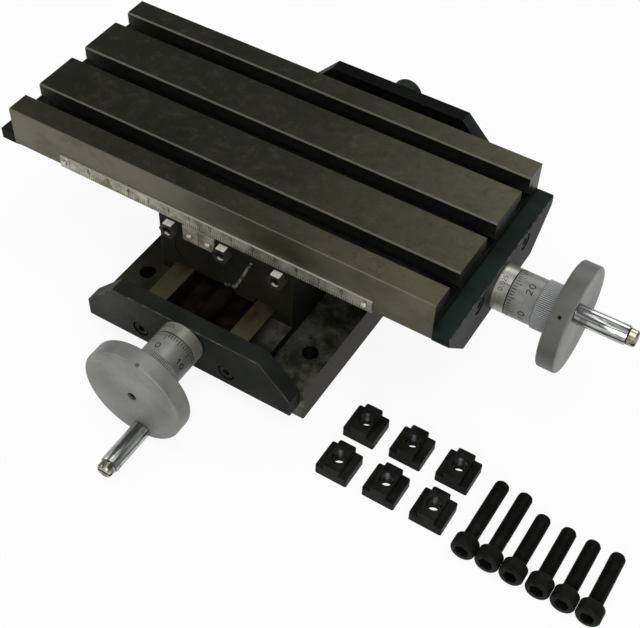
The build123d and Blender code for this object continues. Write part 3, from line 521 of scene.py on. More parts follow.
def make_sky():
    """White for the camera; otherwise dark and pale bands, as of a room with windows and lamps."""
    world = bpy.data.worlds.new("studio_sky")
    bpy.context.scene.world = world
    world.use_nodes = True
    tree = world.node_tree
    direction = tree.nodes.new("ShaderNodeTexCoord").outputs["Generated"]
    height = add_node(tree, "SeparateXYZ", {0: direction})["Z"]
    ramp = tree.nodes.new("ShaderNodeValToRGB")
    feed(tree, ramp.inputs["Fac"], height)
    for position, _ in SKY_BANDS[2:]:
        ramp.color_ramp.elements.new(position)
    for element, (position, grey) in zip(ramp.color_ramp.elements, SKY_BANDS):
        element.position = position
        element.color = (grey, grey, grey * 1.03, 1)
    seen = add_node(tree, "LightPath", {})["Is Camera Ray"]
    inputs = {"Factor": seen, "A": ramp.outputs["Color"], "B": (255, 255, 255)}
    mixed = add_node(tree, "Mix", inputs, data_type="RGBA")["Result"]
    feed(tree, tree.nodes["Background"].inputs["Color"], mixed)
    tree.nodes["Background"].inputs["Strength"].default_value = 1.0


def make_lamp(name, location, size, power, target=(0, -0.01, 0.04)):
    """A square lamp that faces a point of the table."""
    data = bpy.data.lights.new(name, "AREA")
    data.size = size
    data.energy = power
    lamp = bpy.data.objects.new(name, data)
    lamp.location = location
    lamp.rotation_euler = (Vector(target) - Vector(location)).to_track_quat("-Z", "Y").to_euler()
    bpy.context.scene.collection.objects.link(lamp)


make_floor()
make_sky()
make_lamp("front_lamp", (0.45, -0.9, 0.55), 0.7, 6.0)
make_lamp("top_lamp", (0.15, -0.15, 1.1), 0.8, 5.0)
make_lamp("left_lamp", (-0.9, -0.3, 0.6), 0.6, 2.5)
make_lamp("back_lamp", (0.1, 0.9, 0.8), 0.6, 4.0)
print("floor, sky and four lamps")

# %% [markdown]
# ## Ground iron
#
# The table, the saddle and the base are cast iron that was milled and ground, then oiled. The colour is a
# dark, warm grey with faint stains, and fine lines run the way the grinding wheel went. Where an edge was
# broken with a file it is paler, and a painted highlight lies on it as well. We find those edges by the
# direction they face: a chamfer's normal lies between two axes.

# %% Finish of the table
TABLE_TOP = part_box("table_top")[1].z
TABLE_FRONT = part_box("table_top")[0].y
SLOT_DEPTH = 0.0111
SLOT_FLOOR = TABLE_TOP - SLOT_DEPTH


def add_grain(finish, stretch):
    """Fine lines along one axis, as a bumpy height."""
    lines = finish.noise(2600.0, 2.0, stretch)
    pits = finish.noise(1400.0, 3.0)
    finish.bump(finish.calc("ADD", lines, finish.both(pits, 0.4)), 0.00001, 0.35)
    return lines


def lay_lands(finish, cloud):
    """The tops between the slots: olive grey, paler to the right as painted light falloff, with stains and a
    fine mottling.
    """
    # Painted light: the lands grow paler towards +X, as falloff from a lamp on the right; across carries it.
    across = finish.calc("ADD", finish.axis("X"), finish.both(cloud, 0.04))
    finish.tone = finish.blend(finish.remap(across, -0.01, 0.1), (38, 39, 28), (66, 64, 47))
    front_land = finish.along("Y", TABLE_FRONT + 0.012, TABLE_FRONT + 0.011)
    paler = finish.blend(finish.remap(across, 0.0, 0.09), (44, 43, 32), (84, 80, 61))
    paler = finish.blend(finish.remap(across, -0.03, -0.08, 0.0, 0.8), paler, (64, 62, 48))
    finish.lay(front_land, paler)
    lines = add_grain(finish, (0.15, 1, 1))
    finish.lay(finish.remap(lines, 0.35, 0.75, 0.0, 0.2), (38, 39, 30))
    stains = finish.noise(60.0, 5.0, roughness=0.65)
    finish.lay(finish.remap(stains, 0.45, 0.7, 0.0, 0.35), (58, 50, 33))
    mottle = finish.noise(240.0, 4.0, roughness=0.7)
    finish.lay(finish.remap(mottle, 0.5, 0.72, 0.0, 0.3), (84, 82, 66))
    finish.lay(finish.remap(mottle, 0.5, 0.3, 0.0, 0.4), (30, 31, 24))


def lay_front(finish):
    """The front face: warm grey with smears, paler at its ends, and with brown patches."""
    smears = finish.noise(45.0, 5.0, (1, 1, 1.6), roughness=0.6)
    face = finish.blend(finish.remap(smears, 0.35, 0.62), (70, 66, 50), (86, 82, 66))
    left_end = finish.along("X", 0.0, -0.04, 0.0, 0.65)
    right_end = finish.along("X", 0.055, 0.1, 0.0, 0.35)
    face = finish.blend(finish.calc("ADD", left_end, right_end), face, (105, 101, 85))
    brown = finish.noise(80.0, 5.0, (0.6, 1, 1), roughness=0.65)
    face = finish.blend(finish.remap(brown, 0.5, 0.68, 0.0, 0.45), face, (62, 54, 37))
    finish.lay(finish.remap(finish.axis("Y", "Normal"), -0.95, -0.7, 1.0, 0.0), face)


def lay_slots(finish):
    """The slots: wall tone that grows paler lower down and floors paler towards +X, painted light against
    their shade; the floors turn dark past x = 0.07.
    """
    upright = finish.facing("Z", 0.2, 0.5, 1.0, 0.0)
    inside = finish.between("Y", TABLE_FRONT + 0.001, 1.0)
    walls = finish.both(upright, finish.between("Z", SLOT_FLOOR, TABLE_TOP - 0.0004, 0.0001))
    # Painted light: the wall tone is paler the deeper it lies, against the shade in the slot.
    level = finish.remap(finish.axis("Z"), SLOT_FLOOR, TABLE_TOP - 0.002, smooth=False)
    dirt = finish.blend(level, (66, 66, 62), (28, 29, 24))
    finish.lay(finish.both(finish.both(walls, inside), 0.9), dirt)
    floors = finish.between("Z", SLOT_FLOOR - 0.001, TABLE_TOP - 0.005, 0.0001)
    floors = finish.both(finish.calc("SUBTRACT", floors, upright), inside)
    # Painted light: the slot floors are paler towards +X; past x = 0.07 they are dark again.
    floor_tone = finish.blend(finish.along("X", -0.1, 0.06), (46, 47, 44), (92, 93, 90))
    floor_tone = finish.blend(finish.along("X", 0.07, 0.086), floor_tone, (24, 24, 21))
    finish.lay(finish.calc("MAXIMUM", floors, 0.0), floor_tone)


def table_iron():
    """The table: its lands, front face, filed edges with a painted highlight, slots with painted light, and
    dark ends.
    """
    finish = Finish("table_iron", metallic=0.8)
    cloud = finish.noise(28.0, 4.0)
    lay_lands(finish, cloud)
    lay_front(finish)
    # Chamfers between the top and the faces are paler: bare filed metal, and a painted highlight as well.
    chamfers = finish.both(finish.facing("Z", 0.15, 0.3), finish.facing("Z", 0.85, 0.97, 1.0, 0.0))
    finish.lay(finish.both(chamfers, 0.55), (126, 124, 110))
    lay_slots(finish)
    finish.lay(finish.facing("X", 0.7, 0.9), (38, 38, 30))
    finish.shade("Roughness", finish.remap(cloud, 0.2, 0.8, 0.38, 0.5))
    return finish.done()


print("slot floors at", round(SLOT_FLOOR, 4), "table top at", round(TABLE_TOP, 4))

# %% Finishes of base and saddle
WAY_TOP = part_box("base_casting")[1].z
WAY_MIDDLE = (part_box("saddle_casting")[0].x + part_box("saddle_casting")[1].x) / 2
CHANNEL_HALF = 0.0158
SADDLE_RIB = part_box("saddle_casting")[0].y
HOLE, HOLE_TOP = (0.0405, 0.0632, 0.0), 0.0174


def casting_iron(name, dark, pale, stretch, metallic=0.6, roughness=0.45):
    """Milled iron with stains, from a darker to a paler tone, and with its grain drawn out by a stretch."""
    finish = Finish(name, metallic, roughness, 0.03)
    cloud = finish.noise(45.0, 4.0)
    lines = add_grain(finish, stretch)
    finish.tone = finish.blend(finish.remap(cloud, 0.3, 0.7), dark, pale)
    finish.lay(finish.remap(lines, 0.3, 0.8, 0.0, 0.3), dark)
    return finish, cloud


def ways_tone(finish):
    """The ground ways: olive, paler at the front end, with a brown stain, and near black behind the saddle as
    a painted shadow.
    """
    olive = finish.blend(finish.noise(60.0, 3.0), (58, 54, 39), (84, 78, 60))
    olive = finish.blend(finish.along("Y", -0.073, -0.079, 0.0, 0.6), olive, (90, 85, 70))
    stain = finish.remap(finish.noise(75.0, 3.0, (1, 0.5, 1), (0.02, 0.01, 0)), 0.42, 0.6)
    stain = finish.both(stain, finish.along("Y", -0.078, -0.066, 0.0, 0.9))
    olive = finish.blend(stain, olive, (44, 30, 11))
    # Painted shadow: behind the saddle, under the table, the ways are near black.
    return finish.blend(finish.along("Y", 0.0, 0.03), olive, (10, 10, 8))


def hole_mask(finish):
    """1 in the four bolt holes: a point is folded into one quarter, and measured from the hole there."""
    corner = finish.vector("SUBTRACT", finish.vector("ABSOLUTE", finish.place()), HOLE)
    from_hole = finish.vector("LENGTH", finish.vector("MULTIPLY", corner, (1, 1, 0)))
    below = finish.between("Z", -0.001, HOLE_TOP, 0.0001)
    return finish.both(finish.remap(from_hole, 0.0037, 0.0038, 1.0, 0.0), below)


def base_iron():
    """The base: dark flange with painted light at its right, grey side, olive ways, a rusty channel, and
    painted shade on walls and holes.
    """
    finish, cloud = casting_iron("base_iron", (44, 43, 36), (74, 71, 58), (1, 0.03, 1))
    # Painted light: the flange right of x = 0.018 is paler, with smudges in it.
    smudges_and_light = finish.remap(finish.noise(85.0, 5.0, roughness=0.65), 0.38, 0.62)
    finish.lay(finish.along("X", 0.018, 0.026), finish.blend(smudges_and_light, (44, 44, 38), (96, 95, 84)))
    side = finish.remap(finish.axis("X", "Normal"), 0.7, 0.9)
    finish.lay(side, finish.blend(cloud, (36, 34, 29), (58, 55, 47)))
    finish.lay(finish.between("Z", WAY_TOP - 0.0005, WAY_TOP + 0.0005), ways_tone(finish))
    channel = finish.between("X", WAY_MIDDLE - CHANNEL_HALF, WAY_MIDDLE + CHANNEL_HALF)
    channel = finish.both(channel, finish.between("Z", WAY_TOP - 0.012, WAY_TOP - 0.0007))
    rust = finish.remap(finish.noise(110.0, 4.0), 0.4, 0.68)
    finish.lay(channel, finish.blend(rust, (17, 15, 10), (42, 31, 20)))
    # Painted shade: the four bolt holes are near black.
    hole = hole_mask(finish)
    finish.lay(hole, (9, 9, 7))
    # Painted shade: the strip walls that face along X are darker, except in the channel.
    walls = finish.both(finish.facing("X", 0.6, 0.8), finish.between("X", -0.045, 0.045))
    walls = finish.calc("MAXIMUM", finish.calc("SUBTRACT", walls, channel), 0.0)
    finish.lay(walls, (15, 15, 12))
    dull = finish.calc("MAXIMUM", side, finish.calc("MAXIMUM", channel, hole))
    finish.shade("Metallic", finish.remap(dull, 0.0, 1.0, 0.6, 0.05))
    return finish.done()


def saddle_iron():
    """The saddle: almost black, oily iron, darker on its sides as painted shade, with a rib on its front that
    was filed bright and has a painted highlight.
    """
    finish, _ = casting_iron("saddle_iron", (20, 21, 16), (36, 34, 26), (1, 1, 0.03), 0.1, 0.42)
    green = finish.remap(finish.noise(70.0, 4.0, roughness=0.6), 0.45, 0.65)
    finish.lay(finish.both(green, 0.5), (29, 31, 17))
    # Painted shade: the faces that look along X are darker.
    finish.lay(finish.facing("X", 0.7, 0.9), (16, 16, 12))
    # The rib is paler: partly bare filed metal, partly a painted highlight.
    lit_and_rubbed = finish.remap(finish.noise(420.0, 4.0, roughness=0.65), 0.42, 0.6)
    rib = finish.along("Y", SADDLE_RIB + 0.0002, SADDLE_RIB + 0.0005, 1.0, 0.0)
    finish.lay(rib, finish.blend(lit_and_rubbed, (30, 31, 27), (104, 105, 97)))
    return finish.done()


finish_of = {"table_top": table_iron(), "base_casting": base_iron(), "saddle_casting": saddle_iron()}
finish_of["x_gib"] = finish_of["y_gib"] = finish_of["saddle_casting"]
print("iron finishes:", sorted({material.name for material in finish_of.values()}))

# %% [markdown]
# ## Brackets, fasteners and bright parts
#
# The four brackets have a thin, dark blue-green coat over milled steel. T-nuts and cap screws are black
# oxide: almost no colour and a dull sheen. The rule, the pointer and the lock nuts are bright steel. The
# wheels were blasted with glass beads, which leaves aluminium even and pale, and the grips are chromed. Most
# of these are a noise for the tone, a finer one for the gloss, and a bump.

# %% Coats and turned metal
BOSS_LENGTH = 0.007
REAR_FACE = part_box("rear_bracket")[1].y - BOSS_LENGTH
LATHE_RINGS = {"X": (1, 0.02, 0.02), "Y": (0.02, 1, 0.02)}


def coated(name, dark, pale, blotch, fine, metallic, roughness, gloss):
    """A thin even coat: two tones in soft blotches, and a fine grain in gloss and height."""
    finish = Finish(name, metallic, gloss=gloss)
    finish.blotches(blotch, dark, pale)
    grain = finish.noise(fine, 3.0)
    finish.lay(finish.remap(grain, 0.35, 0.75, 0.0, 0.25), pale)
    finish.shade("Roughness", finish.remap(grain, 0.2, 0.8, roughness - 0.06, roughness + 0.08))
    return finish.done(grain)


def turned_metal(name, dark, pale, axis, roughness=0.28, metallic=1.0, gloss=0.5, seam=None):
    """Metal off the lathe: rings across the axis show as fine lines in tone and gloss.

    A seam is a dark line of painted shadow, from one place along the axis to another.
    """
    finish = Finish(name, metallic, gloss=gloss)
    rings = finish.noise(3000.0, 3.0, LATHE_RINGS[axis])
    finish.blotches(90.0, dark, pale)
    finish.lay(finish.remap(rings, 0.4, 0.7, 0.0, 0.3), dark)
    if seam:
        # Painted shadow: a dark line in the gap between the collar and the dial.
        finish.lay(finish.between(axis, *seam, 0.00005), (40, 40, 36))
    finish.shade("Roughness", finish.remap(rings, 0.3, 0.7, roughness - 0.05, roughness + 0.08))
    return finish.done(rings, 0.000004, 0.4)


def bracket_coat(axis, dark, pale, far_tones_and_shade, face_light):
    """The brackets' coat: painted light on the outer face, and a paler small bevel where the coat is gone,
    with a painted highlight.

    The two brackets that are far from the hand have tones of their own: the rear one is darker, as painted
    shade, and its boss and its slanted faces are paler, as painted light.
    """
    finish = Finish(f"bracket_coat_{axis}", gloss=0.02)
    cloud = finish.remap(finish.noise(55.0, 4.0), 0.3, 0.7)
    finish.tone = finish.blend(cloud, dark, pale)
    # The far brackets get their own tones; the rear bracket's are much darker, which is painted shade.
    far = finish.along(axis, -0.02, 0.02, *{"X": (1.0, 0.0), "Y": (0.0, 1.0)}[axis])
    finish.lay(far, finish.blend(cloud, *far_tones_and_shade))
    if axis == "Y":
        # Painted light: the rear bracket's boss and its slanted faces are paler.
        boss = finish.along("Y", REAR_FACE, REAR_FACE + 0.0005)
        slanted = finish.both(far, finish.remap(finish.axis("X", "Normal"), 0.5, 0.7))
        finish.lay(finish.calc("MAXIMUM", boss, slanted), finish.blend(cloud, (32, 34, 31), (50, 52, 49)))
    # Painted light: the outer face is paler by a share, which on the front bracket fades to the right.
    lit_and_rubbed = finish.both(finish.facing(axis, 0.9, 0.97), face_light(finish))
    finish.lay(lit_and_rubbed, finish.blend(cloud, (52, 52, 49), (64, 64, 61)))
    grain = finish.noise(1500.0, 3.0)
    finish.lay(finish.remap(grain, 0.4, 0.75, 0.0, 0.3), pale)
    # The bevel is paler where the coat is gone, and a painted highlight lies on it too.
    bevel = finish.calc("SUBTRACT", finish.facing(axis, 0.3, 0.5), finish.facing(axis, 0.8, 0.95))
    worn_and_highlit = finish.both(bevel, finish.remap(finish.noise(300.0, 3.0), 0.42, 0.66, 0.15, 0.9))
    finish.lay(worn_and_highlit, (92, 92, 85))
    finish.shade("Roughness", finish.remap(grain, 0.2, 0.8, 0.36, 0.5))
    return finish.done(grain)


def to_the_left(finish):
    """The share of painted light on the front bracket, which fades to the right."""
    near = finish.along("Y", -0.02, 0.02, 1.0, 0.0)
    return finish.both(near, finish.along("X", -0.036, 0.002, 1.0, 0.0))


print("the rear bracket's face is at y =", round(REAR_FACE, 4))

# %% Plates, rivets, grips and wheels
def plate_steel():
    """Rule and pointer: dull pale metal with stains, and a painted highlight on the upper edge."""
    finish = Finish("bright_plate", 0.6, 0.42)
    finish.blotches(140.0, (110, 105, 86), (176, 172, 153), 0.35, 0.65, 0.6)
    grain = finish.noise(2600.0, 2.0, (0.03, 1, 1))
    finish.lay(finish.remap(grain, 0.4, 0.7, 0.0, 0.3), (110, 107, 92))
    finish.lay(finish.along("X", -0.03, 0.05, 0.0, 0.5), (92, 92, 84))
    # Painted highlight: the faces that look up are near white.
    finish.lay(finish.remap(finish.axis("Z", "Normal"), 0.6, 0.9), (214, 212, 200))
    return finish.done(grain, 0.000004, 0.4)


def domed_steel(name, axis, rim, lit_crown, low, high, metallic):
    """Small bright pieces with specks of dirt; painted light makes faces along an axis paler, painted shade
    darkens the rims.
    """
    finish = Finish(name, metallic, 0.3, 0.1)
    # Painted light and shade: the tone runs from the rim colour to the lit one as a face turns along the
    # axis.
    finish.tone = finish.blend(finish.facing(axis, low, high), rim, lit_crown)
    finish.lay(finish.remap(finish.noise(900.0, 3.0), 0.4, 0.7, 0.0, 0.35), rim)
    return finish.done()


def grip_bolt_steel(axis):
    """The bolt that a grip turns on: bright, with a line of dirt where it leaves the grip."""
    finish = Finish(f"grip_bolt_steel_{axis}", 1.0, 0.28)
    finish.blotches(300.0, (96, 93, 82), (176, 172, 158), 0.35, 0.65)
    low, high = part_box(f"{axis.lower()}_grip")
    end = {"X": high.x, "Y": low.y}[axis]
    finish.lay(finish.between(axis, end - 0.0003, end + 0.0003, 0.0001), (24, 23, 20))
    return finish.done()


def drawn_chrome(axis):
    """The grips: polished tube with dark specks and long bands, drawing marks and painted reflection; the one
    on Y is duller.
    """
    finish = Finish(f"chrome_{axis}", {"X": 1.0, "Y": 0.7}[axis])
    streaks_and_reflection = finish.noise(700.0, 3.0, {"X": (0.05, 1, 1), "Y": (1, 0.05, 1)}[axis])
    specks = finish.noise(500.0, 4.0, {"X": (0.4, 1, 1), "Y": (1, 0.4, 1)}[axis])
    # The long bands are partly drawing marks and partly painted reflection.
    finish.tone = finish.blend(finish.remap(streaks_and_reflection, 0.35, 0.6), (92, 94, 91), (190, 192, 189))
    finish.lay(finish.remap(specks, 0.52, 0.68, 0.0, 0.7), (70, 71, 68))
    finish.shade("Roughness", finish.remap(streaks_and_reflection, 0.3, 0.7, 0.22, 0.12))
    return finish.done(finish.calc("ADD", streaks_and_reflection, specks), 0.00003, 0.5)


def wheel_aluminium(axis, rim, nick=None):
    """Glass-blasted aluminium: a rim darker by a share, marks, and perhaps a nick."""
    finish = Finish(f"blasted_aluminium_{axis}", 0.4, gloss=0.4)
    finish.blotches(50.0, (104, 105, 100), (128, 129, 123))
    grain = finish.noise(2600.0, 3.0)
    finish.lay(finish.remap(grain, 0.35, 0.75, 0.0, 0.3), (134, 135, 130))
    marks = finish.noise(170.0, 5.0, roughness=0.7)
    finish.lay(finish.remap(marks, 0.55, 0.72, 0.0, 0.45), (84, 85, 80))
    finish.lay(finish.both(finish.facing(axis, 0.6, 0.3), rim), (52, 53, 50))
    if nick:
        reach = finish.vector("LENGTH", finish.vector("SUBTRACT", finish.place(), nick))
        finish.lay(finish.remap(reach, 0.0005, 0.0012, 0.8, 0.0), (40, 38, 36))
    finish.shade("Roughness", finish.remap(grain, 0.2, 0.8, 0.42, 0.56))
    return finish.done(grain)


# %% The other finishes
COLLAR_LENGTH = 5.8
paint = {
    # On X the outer face gets painted light by a share of 0.6; on Y the painted light fades to the right.
    "X": bracket_coat("X", (19, 24, 21), (29, 38, 35), [(22, 23, 21), (35, 36, 33)], lambda finish: 0.6),
    "Y": bracket_coat("Y", (23, 25, 22), (37, 39, 35), [(9, 11, 9), (17, 20, 18)], to_the_left),
}
# The numbers are the scale of the blotches and of the grain, and then metallic, roughness and gloss.
oxide = coated("black_oxide", (13, 14, 11), (23, 24, 21), 150.0, 1200.0, 0.0, 0.4, 0.06)
tee_oxide = coated("tee_nut_oxide", (15, 17, 14), (34, 35, 30), 120.0, 900.0, 0.0, 0.4, 0.03)
tapped = coated("tapped_steel", (13, 14, 14), (58, 60, 61), 300.0, 1200.0, 0.9, 0.25, 0.5)
tapped_wheel = coated("tapped_aluminium", (92, 92, 88), (132, 132, 128), 300.0, 1200.0, 0.1, 0.4, 0.1)
ink = coated("line_ink", (14, 14, 14), (24, 24, 24), 400.0, 3000.0, 0.0, 0.6, 0.2)
brass = coated("nut_brass", (120, 98, 54), (150, 124, 70), 80.0, 1400.0, 0.9, 0.35, 0.2)
plate = plate_steel()
# Rivet heads get painted shade at their rims; the gib nuts get painted light on their tops.
rivet = domed_steel("rivet_steel", "Y", (88, 84, 70), (196, 194, 182), 0.5, 0.9, 0.5)
nut_steel = domed_steel("nut_steel", "Z", (48, 47, 41), (230, 227, 212), 0.6, 0.9, 0.3)
blasted = {"X": wheel_aluminium("X", 0.65), "Y": wheel_aluminium("Y", 0.0, (0.0021, -0.1223, 0.0461))}
# The seams: painted shadow lines in the gap between each collar and its dial.
x_seam = [(x_seat + COLLAR_LENGTH + step) * MM for step in (-0.32, 0.2)]
y_seam = [(y_seat - COLLAR_LENGTH + step) * MM for step in (-0.2, 0.32)]
collar_steel = {
    "X": turned_metal("collar_steel_X", (118, 117, 110), (178, 177, 168), "X", 0.36, 0.75, seam=x_seam),
    "Y": turned_metal("collar_steel_Y", (150, 149, 138), (186, 186, 175), "Y", 0.35, 0.75, seam=y_seam),
}
print("dirt beside the dials: x from", x_seam[0], "to", x_seam[1], "and y from", y_seam[0], "to", y_seam[1])

# %% Dress the solids
groups = [
    (paint["Y"], "front_bracket rear_bracket"),
    (paint["X"], "left_bracket right_bracket"),
    (oxide, "y_bracket_screws x_bracket_screws clamp_screws_long clamp_screws_short"),
    (oxide, "x_nut_screws y_nut_screws x_gib_screws y_gib_screws"),
    (tee_oxide, "t_nuts"),
    (brass, "x_nut y_nut"),
    (plate, "rule pointer_plate"),
    (rivet, "rule_rivets pointer_rivets"),
    (nut_steel, "x_gib_lock_nuts y_gib_lock_nuts"),
]
chrome, oily = {}, {}
for axis, line in zip("XY", "xy"):
    chrome[axis] = drawn_chrome(axis)
    oily[axis] = turned_metal(f"oily_steel_{axis}", (13, 10, 7), (26, 20, 13), axis, 0.55, 0.0, 0.02)
    groups += [
        (collar_steel[axis], f"{line}_index_collar {line}_dial"),
        (blasted[axis], f"{line}_handwheel"),
        (turned_metal(f"bright_steel_{axis}", (130, 126, 112), (180, 176, 162), axis), f"{line}_grub_screw"),
        (chrome[axis], f"{line}_grip"),
        (grip_bolt_steel(axis), f"{line}_grip_bolt"),
        (oily[axis], f"{line}_leadscrew"),
    ]
for material, nodes in groups:
    finish_of.update({node: material for node in nodes.split()})
for node, material in finish_of.items():
    solids[node].data.materials.clear()
    solids[node].data.materials.append(material)
print("dressed", len(finish_of), "of", len(solids), "solids; left:", sorted(set(solids) - set(finish_of)))

# %% [markdown]
# ## Threaded, knurled and numbered pieces
#
# Now the helpers earn their keep. Each piece below takes the place of a plain solid or lies on one, rides on
# the same body, and keeps within the solid's outline. The table's screw is right-handed and the saddle's is
# left-handed, so that turning either wheel clockwise moves its slide away from the hand.

# %% Adding a piece
def add_piece(name, shell, body, slot, material, *replaced):
    """Makes a piece, gives it its finish and its body, and hides the plain solid it stands for."""
    piece = surface_object(name, shell)
    piece.data.materials.append(material)
    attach(piece, body)
    if replaced:
        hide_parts(*replaced)
    print(name, "rides on", body, "and has", len(piece.data.polygons), "faces")


# %% Leadscrews
SCREW, SCREW_PITCH, JOURNAL, FLANGE = 8.0, 1.25, 6.0, 12.8
FLANGE_START, FLANGE_END = -2.95, 0.05
END_BEVEL = 0.4
CENTRE_HOLE, CENTRE_DEPTH = 3.0, 2.5


def heights_of(line, node):
    """The two heights on a screw's line between which a solid lies."""
    low, high = [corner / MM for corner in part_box(node)]
    return (low.x - x_seat, high.x - x_seat) if line == "x" else (y_seat - high.y, y_seat - low.y)


def leadscrew_shell(far_end, shoulder, shaft_end, left_handed):
    """Journal, thread, thrust flange and shaft, which run into one another."""
    journal = turned(
        48, (far_end, 0), (far_end, JOURNAL / 2 - END_BEVEL), (far_end + END_BEVEL, JOURNAL / 2),
        (shoulder + 1, JOURNAL / 2), (shoulder + 1, 0),
    )
    length = FLANGE_START + 0.5 - shoulder
    threaded = thread(SCREW, SCREW_PITCH, length, JOURNAL / 2, left_handed)
    shaft = turned(
        64, (FLANGE_START, 0), (FLANGE_START, FLANGE / 2), (FLANGE_END, FLANGE / 2), (FLANGE_END, SCREW / 2),
        (shaft_end - END_BEVEL, SCREW / 2), (shaft_end, SCREW / 2 - END_BEVEL), (shaft_end, CENTRE_HOLE / 2),
        (shaft_end - CENTRE_DEPTH, CENTRE_HOLE / 2), (shaft_end - CENTRE_DEPTH - CENTRE_HOLE / 2, 0),
    )
    return joined(journal, lifted(threaded, shoulder), shaft)


for line, wall, left_handed in (("x", "table_top", False), ("y", "base_casting", True)):
    far_end, shaft_end = heights_of(line, f"{line}_leadscrew")
    shoulder = heights_of(line, wall)[0] + 0.1
    shell = placed(leadscrew_shell(far_end, shoulder, shaft_end, left_handed), **screw_lines[line])
    add_piece(f"{line}_threaded_leadscrew", shell, f"{line}_screw", "screw_steel", oily[line.upper()],
              f"{line}_leadscrew")

# %% [markdown]
# The dial has fifty divisions, one for every 0.025 mm, and a number at every tenth. Its numbers read with
# their tops towards the collar. Each dial is turned to where the photo shows it.

# %% Dials
COLLAR, KNURL = 19.2, 20.4
DIAL_START, DIAL_STEP, DIAL_END, DIAL_BORE = 5.9, 16.9, 24.7, 14.1
DRUM_BEVEL, KNURL_BEVEL, KNURL_EDGE = 0.12, 0.3, 0.4
KNURL_DEPTH, KNURL_RIDGES = 0.3, 80
DIVISIONS = 50
LINE_PEN = 0.3


def dial_shell():
    """A ring with a smooth drum and a knurled band."""
    segments, bore, drum, edge = 640, DIAL_BORE / 2, COLLAR / 2, KNURL / 2 - KNURL_EDGE
    ridges = ridged_radii(KNURL / 2, KNURL_DEPTH, KNURL_RIDGES, segments)
    return turned(
        segments, (DIAL_END, bore), (DIAL_START, bore), (DIAL_START, drum - DRUM_BEVEL),
        (DIAL_START + DRUM_BEVEL, drum), (DIAL_STEP, drum), (DIAL_STEP, edge),
        (DIAL_STEP + KNURL_BEVEL, ridges), (DIAL_END - KNURL_BEVEL, ridges), (DIAL_END, edge),
        (DIAL_END, bore),
    )


def dial_steel(axis, dark, pale):
    """A dial: a dull turned drum, on Y painted darker to the right as painted shade, and a knurl with painted
    shade in its grooves.
    """
    finish = Finish(f"dial_steel_{axis}", 0.6)
    rings = finish.noise(3000.0, 3.0, LATHE_RINGS[axis])
    finish.blotches(110.0, dark, pale)
    finish.lay(finish.remap(rings, 0.4, 0.7, 0.0, 0.3), dark)
    start = [value * MM for value in screw_lines[axis.lower()]["origin"]]
    # Painted shade: the Y dial is darker to the right of its line.
    if axis == "Y":
        finish.lay(finish.along("X", start[0] + 0.002, start[0] + 0.009, 0.0, 0.5), (62, 63, 59))
    across = {"X": (0, 1, 1), "Y": (1, 0, 1)}[axis]
    from_line = finish.vector("MULTIPLY", finish.vector("SUBTRACT", finish.place(), start), across)
    # Painted shade: the knurl is darker in its grooves than on its points.
    deep = (KNURL / 2 - KNURL_DEPTH) * MM
    raised = finish.remap(finish.vector("LENGTH", from_line), deep, KNURL / 2 * MM, smooth=False)
    out = finish.calc("ABSOLUTE", finish.calc("SUBTRACT", finish.axis(axis), start["XY".index(axis)]))
    band = finish.remap(out, (DIAL_STEP + 0.05) * MM, (DIAL_STEP + 0.1) * MM)
    finish.lay(band, finish.blend(raised, (76, 78, 77), (150, 152, 151)))
    finish.shade("Metallic", finish.remap(band, 0.0, 1.0, 0.6, 0.25))
    finish.shade("Roughness", finish.remap(rings, 0.3, 0.7, 0.4, 0.5))
    return finish.done(rings, 0.000004, 0.4)


def mark_length(index, at_tens, at_fives, between):
    """How long a division line is."""
    return at_tens if index % 10 == 0 else at_fives if index % 5 == 0 else between


def dial_marks(turn, number):
    """Division lines and numbers, turned so that a number stands at an angle."""
    shells = []
    for index in range(DIVISIONS):
        end = mark_length(index, 3.55, 3.05, 2.15)
        angle = turn - (index - number) * 360 / DIVISIONS
        shells.append(wrapped(line_mark(0, -end, -0.3, LINE_PEN), COLLAR / 2, angle, DIAL_START))
        if index % 10 == 0:
            digits = written(str(index), width=1.9, height=2.5, gap=0.75, pen=0.42)
            shells.append(wrapped(digits, COLLAR / 2, angle, DIAL_START + 7.2))
    return joined(*shells)


print("a dial has", KNURL_RIDGES, "ridges and", DIVISIONS, "divisions")

# %% [markdown]
# The index collar doesn't turn: it carries the line that the dial is read at. The grips are sleeves that
# turn on a bolt, beside the screw's line.

# %% Collars and grips
COLLAR_BORE, SPIGOT, SPIGOT_LENGTH, COLLAR_BEVEL = 13.0, 15.4, 3.0, 0.3
GRIP_BORE, GRIP_ROUND = 4.9, 0.5


def collar_shell():
    """The fixed collar, with a fine bevel on its outer edge."""
    bore, spigot, outside, shaft = COLLAR_BORE / 2, SPIGOT / 2, COLLAR / 2, SCREW / 2 + 0.05
    return turned(
        192, (0.1, bore), (-SPIGOT_LENGTH, bore), (-SPIGOT_LENGTH, spigot), (0, spigot), (0, outside),
        (COLLAR_LENGTH - COLLAR_BEVEL, outside), (COLLAR_LENGTH, outside - COLLAR_BEVEL),
        (COLLAR_LENGTH, shaft), (0.1, shaft), (0.1, bore),
    )


def collar_marks(angle):
    """The index line, and the value of one division beside it."""
    digits = written("0.025", width=1.0, height=1.9, gap=0.3, pen=0.26)
    index = wrapped(line_mark(0, -1.3, 1.3, LINE_PEN), COLLAR / 2, angle, COLLAR_LENGTH - 1.6)
    return joined(wrapped(digits, COLLAR / 2, angle, 2.2), index)


def grip_shell(low, high, radius):
    """A sleeve from one height to another, with rounded ends."""
    bore, ends, edge = GRIP_BORE / 2, radius - GRIP_ROUND, 0.3 * GRIP_ROUND
    return turned(
        128, (high, bore), (low, bore), (low, ends), (low + edge, radius - edge), (low + GRIP_ROUND, radius),
        (high - GRIP_ROUND, radius), (high - edge, radius - edge), (high, ends), (high, bore),
    )


